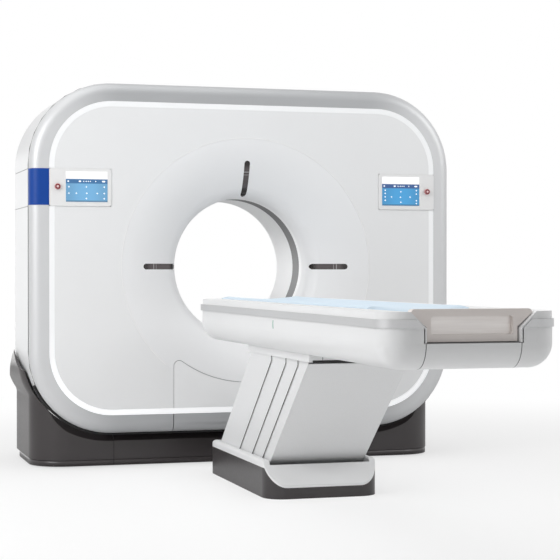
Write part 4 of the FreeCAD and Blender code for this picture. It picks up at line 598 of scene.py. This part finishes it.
# Painted light: the service cover's white is paler than the face's, to offset the shadow that the table casts on
# it.
service = moulded("service_silver_and_painted_light_white", (0.85, 0.855, 0.86))
foot = service.axis("Z") < SILVER_TOP
service.over(foot, RING_SILVER)
service.put("Metallic", foot * 0.25).on("service_cover")

# ---------------------------------------------------------------- laser windows
# Three smoked glass windows in the funnel let the positioning lasers out. Behind the glass a paler slide and
# the two bright lips of the laser's slot show through.

SLIDE_FADE_IN, SLIDE_FADE_OUT = 0.02, 0.03
LASER_LIPS = ((0.042, 0.0022), (0.056, 0.0012))


def smoked_glass(name, along, start, end):
    """Dark glass over a paler slide from start to end along one axis, with two bright lips near its end."""
    finish = Finish(name, (0.012, 0.008, 0.007), 0.15, coat=0.25)
    run = finish.axis(along)
    run = abs(run) if along == "X" else run
    share = run.rise(start, start + SLIDE_FADE_IN) * (1.0 - run.rise(end - SLIDE_FADE_OUT, end))
    finish.over(share * (0.55 + finish.noise(38.0) * 0.9), (0.075, 0.062, 0.062))
    first, second = [abs(run - (end - inset)) < half for inset, half in LASER_LIPS]
    return finish.over(first.most(second), (0.30, 0.29, 0.29))


smoked_glass("smoked_glass_sides", "X", 0.375, 0.522).on("laser_window_left", "laser_window_right")
smoked_glass("smoked_glass_top", "Z", 1.39, 1.52).on("laser_window_top")

# ---------------------------------------------------------------- control panels
# Each panel is a white moulding let into the face, lacquered a little glossier than it. It holds a display
# behind glass and a stop button.

moulded("panel_white", (0.80, 0.80, 0.80), 0.3, 0.2).on("control_panel_left", "control_panel_right")

# ---------------------------------------------------------------- displays
# The displays show a white status field over a dark blue bar and a light blue field of plain keys. The keys
# and marks are simple discs and bars.

screen_low, screen_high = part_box("touch_screen_left")
screen_wide, screen_tall = screen_high[0] - screen_low[0], screen_high[2] - screen_low[2]
FIELD_TOP, BAR_LOW, FRAME_LOW = 0.745, 0.60, 0.045
MARK_THICK, BAR_HALF, KEY_RADIUS = 0.0004, 0.0035, 0.0045
BAR_MARKS = ((0.03, 0.05), (0.30, 0.07), (0.41, 0.03), (0.47, 0.03), (0.52, 0.03), (0.57, 0.03), (0.70, 0.03),
             (0.86, 0.09))
KEYS_LEFT = ((0.07, 0.49), (0.49, 0.49), (0.92, 0.49), (0.07, 0.28), (0.25, 0.28), (0.50, 0.28), (0.75, 0.28),
             (0.92, 0.28), (0.49, 0.11), (0.92, 0.11))
KEYS_RIGHT = ((0.08, 0.53), (0.08, 0.42), (0.08, 0.30), (0.08, 0.18), (0.25, 0.30), (0.50, 0.48),
              (0.49, 0.29), (0.75, 0.30), (0.50, 0.12), (0.92, 0.53), (0.92, 0.41), (0.92, 0.18),
              (0.92, 0.08))


def display(name, side, field, bar, keys):
    """The glowing face of one display, and its marks as a thin layer on the glass."""
    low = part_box("touch_screen_" + side)[0]
    glow = Finish(name, (0.02, 0.02, 0.02), 0.15, coat=0.5)
    height = (glow.axis("Z") - low[2]) / screen_tall
    across = (glow.axis("X") - low[0]) / screen_wide
    pale = tuple(min(1.0, 1.25 * c) for c in field)
    face = glow.blend(abs(across - 0.5).rise(0.1, 0.5), pale, field)
    face = glow.blend(height > BAR_LOW, face, bar)
    face = glow.blend(height > FIELD_TOP, face, (1.0, 1.0, 1.0))
    face = glow.blend(height < FRAME_LOW, face, tuple(0.62 * c for c in field))
    glow.put("Emission Color", face).put("Emission Strength", 1.0)
    glow.put("Base Color", glow.blend(glow.noise(400.0, 1.0), (0.02, 0.02, 0.022), (0.03, 0.03, 0.034)))
    glow.on("touch_screen_" + side)

    shape = bmesh.new()

    def mark(across_share, up_share, half_wide, half_tall):
        place = Vector((low[0] + across_share * screen_wide, low[1] - MARK_THICK / 4,
                        low[2] + up_share * screen_tall))
        size = Matrix.Diagonal((2 * half_wide, MARK_THICK, 2 * half_tall, 1))
        box = bmesh.ops.create_cube(shape, size=1.0, matrix=Matrix.Translation(place) @ size)["verts"]
        edges = {edge for corner in box for edge in corner.link_edges}
        rims = [edge for edge in edges if abs((edge.verts[0].co - edge.verts[1].co).y) > MARK_THICK / 2]
        bmesh.ops.bevel(shape, geom=rims, offset=0.8 * min(half_wide, half_tall), segments=3, affect="EDGES")

    for start, length in BAR_MARKS:
        mark(start + length / 2, (FIELD_TOP + BAR_LOW) / 2, length * screen_wide / 2, BAR_HALF)
    for across_share, up_share in keys:
        mark(across_share, up_share, KEY_RADIUS, KEY_RADIUS)
    mesh = bpy.data.meshes.new("display_marks_" + side)
    shape.to_mesh(mesh)
    shape.free()
    marks = bpy.data.objects.new("display_marks_" + side, mesh)
    scene.collection.objects.link(marks)
    ink = Finish("mark_white_" + side, (0.9, 0.93, 0.96), 0.3)
    ink.put("Base Color", ink.blend(ink.noise(500.0), (0.85, 0.90, 0.95), (0.95, 0.97, 1.0)))
    ink.put("Emission Color", (0.85, 0.93, 1.0, 1)).put("Emission Strength", 0.45).on(marks.name)
    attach(marks, "frame")


display("display_left", "left", (0.11, 0.33, 0.56), (0.006, 0.13, 0.33), KEYS_LEFT)
display("display_right", "right", (0.018, 0.25, 0.52), (0.004, 0.07, 0.25), KEYS_RIGHT)

# ---------------------------------------------------------------- stop buttons
# Glossy moulded mushroom buttons, dark red with a pale disc let into the crown. They are pushed in against a
# spring.

BUTTON_PLACE, BUTTON_HEIGHT, DISC_RADIUS, CROWN_RADIUS = 0.965, 1.390, 0.0055, 0.0125
button_red = Finish("stop_button_red", (0.24, 0.018, 0.026), 0.25, coat=0.4)
from_side, from_level = abs(button_red.axis("X")) - BUTTON_PLACE, button_red.axis("Z") - BUTTON_HEIGHT
from_middle = (from_side ** 2 + from_level ** 2) ** 0.5
button_red.over(button_red.noise(120.0), (0.10, 0.008, 0.012))
button_red.over(from_middle < DISC_RADIUS, (0.80, 0.55, 0.55))
button_red.over(from_middle > CROWN_RADIUS, (0.55, 0.22, 0.22)).on("stop_button_left", "stop_button_right")

# ---------------------------------------------------------------- badge
# A bare plate of blue plastic is bent round the left side of the ring. It stands level with the left control
# panel and is about as high.

badge = moulded("badge_blue", (0.005, 0.055, 0.30), 0.4, 0.0, 0.00003)
badge.put("Specular IOR Level", 0.25).on("side_badge")

# ---------------------------------------------------------------- table base and its lift motor
# A dark satin skirt stands on the floor and carries the white sloping base cover. Inside are the steel floor
# plate with the pivots' cheeks, and the lift's motor and gearbox.

satin_film("skirt_film", (0.045, 0.040, 0.041)).on("base_skirt")
moulded("base_white", (0.80, 0.803, 0.807), 0.32).on("base_rim")
powder_coat("pedestal_base_coat", (0.12, 0.125, 0.13)).on("pedestal_base")
powder_coat("lift_motor_paint", (0.03, 0.034, 0.04), 0.4).on("lift_motor")

# ---------------------------------------------------------------- lift arms
# Two welded steel arms of one length keep the table level as it rises. They turn on pins between the cheeks
# of the floor plate, and the main arm carries the load.

powder_coat("main_arm_coat", (0.16, 0.17, 0.185)).on("lift_arm")
powder_coat("follower_arm_coat", (0.12, 0.13, 0.145)).on("follower_arm")

# ---------------------------------------------------------------- pedestal covers and their wipers
# Four folded steel sheets, powder coated white, slide over one another in layers. Each of the three outer
# ones has a dark rubber wiper along its free edge, which bends upright below the housing.

sheet_coat = powder_coat("sheet_coat_white", (0.77, 0.775, 0.78), 0.38, 0.00005)
sheet_coat.on("pedestal_cover_head", "pedestal_strip_rear", "pedestal_strip_front", "pedestal_cover_foot")

LEAN = math.radians(50)
BEND, SHEET_TOP, WIPER_LOW = 0.592, 0.644, 0.135
WIPER_WIDE, WIPER_THICK, TURN_BELOW, TURN_ABOVE = 0.0055, 0.0011, 0.006, 0.003
# Dark rubber for the wipers and the collar joints, also used for the painted shade strip under the collar.
wiper_rubber_and_collar_shade = soft_rubber("wiper_rubber_and_collar_shade", 0.02)
joints = frame["record"]["behaviour"]["joints"]
joint_place = {joint["name"]: joint["pos_m"] for joint in joints if "pos_m" in joint}
for name, hinge, body, edge, outer in (("head", "lift", "main_arm", 0.1737, 0.225),
                                       ("rear", "rear_strip_tilt", "rear_strip", 0.0652, 0.222),
                                       ("front", "front_strip_tilt", "front_strip", 0.0511, 0.219)):
    pivot_y, pivot_z = joint_place[hinge][1:]
    inset = edge - WIPER_WIDE / 2
    start_y, start_z = pivot_y - inset * math.cos(LEAN), pivot_z - inset * math.sin(LEAN)

    def on_edge(height):
        return start_y - (height - start_z) * math.tan(LEAN)

    for side, sign in (("left", -1), ("right", 1)):
        across = sign * (outer + WIPER_THICK / 2)
        wiper_line = [(across, on_edge(WIPER_LOW), WIPER_LOW),
                      (across, on_edge(BEND - TURN_BELOW), BEND - TURN_BELOW),
                      (across, on_edge(BEND), BEND + TURN_ABOVE), (across, on_edge(BEND), SHEET_TOP)]
        grown("wiper_%s_%s" % (name, side), strip_rule, path_of(wiper_line), body, "skirt_dark", wiper_rubber_and_collar_shade,
              Side=(1, 0, 0), Width=WIPER_WIDE, Thickness=WIPER_THICK)

# ---------------------------------------------------------------- table frame and housing
# Two steel spars carry the whole top. A long white moulding closes them in from below, and its foot face
# lifts off as a cover of its own. Two rubber joints edge the collar that the pedestal's sheets run into, and
# a dark strip along the collar's foot end is painted shade for the gap under it.

powder_coat("spar_coat", (0.15, 0.16, 0.175)).on("table_frame")
housing_white = moulded("housing_white", (0.785, 0.79, 0.795), 0.34)
SEAM, SEAM_HALF, foot_end = 0.1744, 0.0015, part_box("foot_cover")[1][1]
seam = (abs(abs(housing_white.axis("X")) - SEAM) < SEAM_HALF) * (housing_white.axis("Y") < foot_end)
housing_white.over(seam, (0.10, 0.10, 0.105)).on("table_housing", "foot_cover")

# Painted shade: a dark strip along the collar's foot end stands in for the shadow in the gap under it.
COLLAR_FOOT, COLLAR_SHADE_HALF, COLLAR_SHADE_WIDE, COLLAR_SHADE_THICK, COLLAR_SHADE_RISE = -0.7435, 0.2165, 0.012, 0.0012, 0.002
collar_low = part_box("table_housing")[0][2]
collar_shade_line = [(x, COLLAR_FOOT - COLLAR_SHADE_THICK / 2, collar_low + COLLAR_SHADE_RISE) for x in (-COLLAR_SHADE_HALF, 0.0, COLLAR_SHADE_HALF)]
grown("collar_lip", strip_rule, path_of(collar_shade_line), "table", "skirt_dark", wiper_rubber_and_collar_shade,
      Side=(0, 1, 0), Width=COLLAR_SHADE_WIDE, Thickness=COLLAR_SHADE_THICK)

COLLAR_JOINT_WIDE, COLLAR_JOINT_THICK, COLLAR_JOINT_RISES = 0.002, 0.0006, (0.002, 0.015, 0.031)
for side, sign in (("left", -1), ("right", 1)):
    joint_line = [(sign * SEAM, COLLAR_FOOT - COLLAR_JOINT_THICK / 2, collar_low + rise)
                  for rise in COLLAR_JOINT_RISES]
    grown("collar_joint_" + side, strip_rule, path_of(joint_line), "table", "skirt_dark", wiper_rubber_and_collar_shade,
          Side=(0, 1, 0), Width=COLLAR_JOINT_WIDE, Thickness=COLLAR_JOINT_THICK)

# ---------------------------------------------------------------- side rail
# A satin anodised aluminium extrusion is bent round the housing. It is drawn lengthwise, so its grain runs
# along it.

anodised = Finish("anodised_rail", (0.55, 0.553, 0.56), 0.3, 0.65)
grain = anodised.noise(1.0, 2.0, anodised.stretched(900.0, 12.0, 2600.0))
anodised.put("Base Color", anodised.blend(grain, (0.56, 0.563, 0.57), (0.67, 0.673, 0.68)))
anodised.put("Roughness", 0.27 + grain * 0.10).bump(grain, 0.00003, 0.4).on("side_rail")

# ---------------------------------------------------------------- channel, board, carriage and status light
# The cradle slides in a white channel whose ledges cap the rail. Its laminate board is dished lengthwise, and
# a small green lamp in the housing's side shows that the table is ready.

moulded("channel_white", (0.80, 0.803, 0.807)).on("channel_liner")
moulded("laminate_white", (0.80, 0.803, 0.807), 0.3, 0.2).on("cradle_board")
powder_coat("carriage_coat", (0.20, 0.21, 0.225)).on("cradle_carriage")
lamp_green = moulded("status_green", (0.01, 0.22, 0.13), 0.3)
lamp_green.put("Emission Color", (0.0, 0.30, 0.17, 1)).put("Emission Strength", 0.25).on("status_light")

# ---------------------------------------------------------------- foot bracket and its window
# A warm grey moulded bracket closes the cradle's foot end. A pane of brushed pale metal under clear lacquer
# is let into it.

moulded("bracket_beige", (0.80, 0.745, 0.715), 0.4, 0.0, 0.00012).on("foot_bracket")
pane = Finish("pane_pale", (0.85, 0.81, 0.79), 0.30, 0.45, coat=0.3)
streaks = pane.noise(1.0, 3.0, pane.stretched(5.0, 1.0, 90.0))
pane.put("Base Color", pane.blend(streaks, (0.76, 0.715, 0.69), (0.93, 0.90, 0.88)))
pane.bump(streaks, 0.0002, 0.3).on("bracket_window")

# ---------------------------------------------------------------- mat
# A thin foam mat in pale blue coated cloth lies in the dished board. It thins out towards its welded edges,
# and its sides rise with the board. A short cloth run under slight pressure puffs up its top.

MAT_VOXEL, MAT_CAP, MAT_PRESSURE, MAT_MOMENTS, MAT_KEPT = 0.006, 0.0025, 4.0, 20, 0.45
HEM, HEM_THIN, UNDERSIDE, WELD_IN = 0.035, 0.42, 0.004, 0.012
mat_low, mat_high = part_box("cradle_mat")
mat = bpy.data.objects.new("mat", nodes["cradle_mat"].data.copy())
mat.data.name = "mat"
scene.collection.objects.link(mat)
mat.data.materials.clear()


def apply_last(piece):
    """Apply the piece's one modifier."""
    shape = bpy.data.meshes.new_from_object(piece.evaluated_get(bpy.context.evaluated_depsgraph_get()))
    piece.modifiers.clear()
    piece.data = shape


shape = bmesh.new()
shape.from_mesh(mat.data)
bmesh.ops.remove_doubles(shape, verts=shape.verts, dist=0.00001)
shape.to_mesh(mat.data)
shape.free()
remesh = mat.modifiers.new("even_grid", "REMESH")
remesh.mode, remesh.voxel_size = "VOXEL", MAT_VOXEL
apply_last(mat)

half_width = (mat_high[0] - mat_low[0]) / 2
MAT_FLAT, MAT_RISE = 0.176, 0.0163


def board_under(across):
    """Height of the board's dished top under the mat."""
    beyond = max(0.0, abs(across) - MAT_FLAT) / (half_width - MAT_FLAT)
    return mat_low[2] + MAT_RISE * beyond ** 2


resting = set()
for vertex in mat.data.vertices:
    x, y, z = vertex.co
    to_edge = min(half_width - abs(x), y - mat_low[1], mat_high[1] - y)
    share = min(1.0, max(0.0, to_edge / HEM))
    thin = HEM_THIN + (1 - HEM_THIN) * math.sin(share * math.pi / 2)
    under = board_under(x)
    if z - under > UNDERSIDE:
        vertex.co.z = under + (z - under) * thin
    else:
        resting.add(vertex.index)
start_shape = [vertex.co.copy() for vertex in mat.data.vertices]

pins = mat.vertex_groups.new(name="resting")
pins.add(sorted(resting), 1.0, "REPLACE")
cloth = mat.modifiers.new("padding", "CLOTH")
cloth.settings.use_pressure, cloth.settings.uniform_pressure_force = True, MAT_PRESSURE
cloth.settings.vertex_group_mass = "resting"
cloth.settings.effector_weights.gravity = 0.0
cloth.settings.quality = 4
cloth.collision_settings.use_collision = False
for moment in range(1, MAT_MOMENTS + 1):
    scene.frame_set(moment)
apply_last(mat)
scene.frame_set(1)
for vertex, start in zip(mat.data.vertices, start_shape):
    move = vertex.co - start
    if move.length > MAT_CAP:
        move *= MAT_CAP / move.length
    vertex.co = start + move
mat.vertex_groups.clear()
smooth = mat.modifiers.new("smooth", "SUBSURF")
smooth.levels = smooth.render_levels = 1
apply_last(mat)
fewer = mat.modifiers.new("fewer", "DECIMATE")
fewer.ratio = MAT_KEPT
apply_last(mat)
mat.data.polygons.foreach_set("use_smooth", [True] * len(mat.data.polygons))

coated = Finish("mat_blue", (0.70, 0.79, 0.87), 0.5)
from_side = half_width - abs(coated.axis("X"))
from_end = (coated.axis("Y") - mat_low[1]).least(mat_high[1] - coated.axis("Y"))
weld = 1.0 - abs(from_side.least(from_end) - WELD_IN).rise(0.0008, 0.0028)
leather = coated.node("ShaderNodeTexVoronoi", {"feature": "SMOOTH_F1"}, coated.place, Scale=650.0)
coated.put("Base Color", coated.blend(coated.noise(3.0, 3.0), (0.62, 0.755, 0.87), (0.70, 0.805, 0.89)))
coated.over(weld * 0.35, (0.50, 0.65, 0.80))
coated.put("Roughness", 0.46 + leather * 0.12)
coated.bump(leather * 0.25 - weld, 0.0006, 0.5).on("mat")
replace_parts(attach(mat, "cradle"), "cradle_mat")
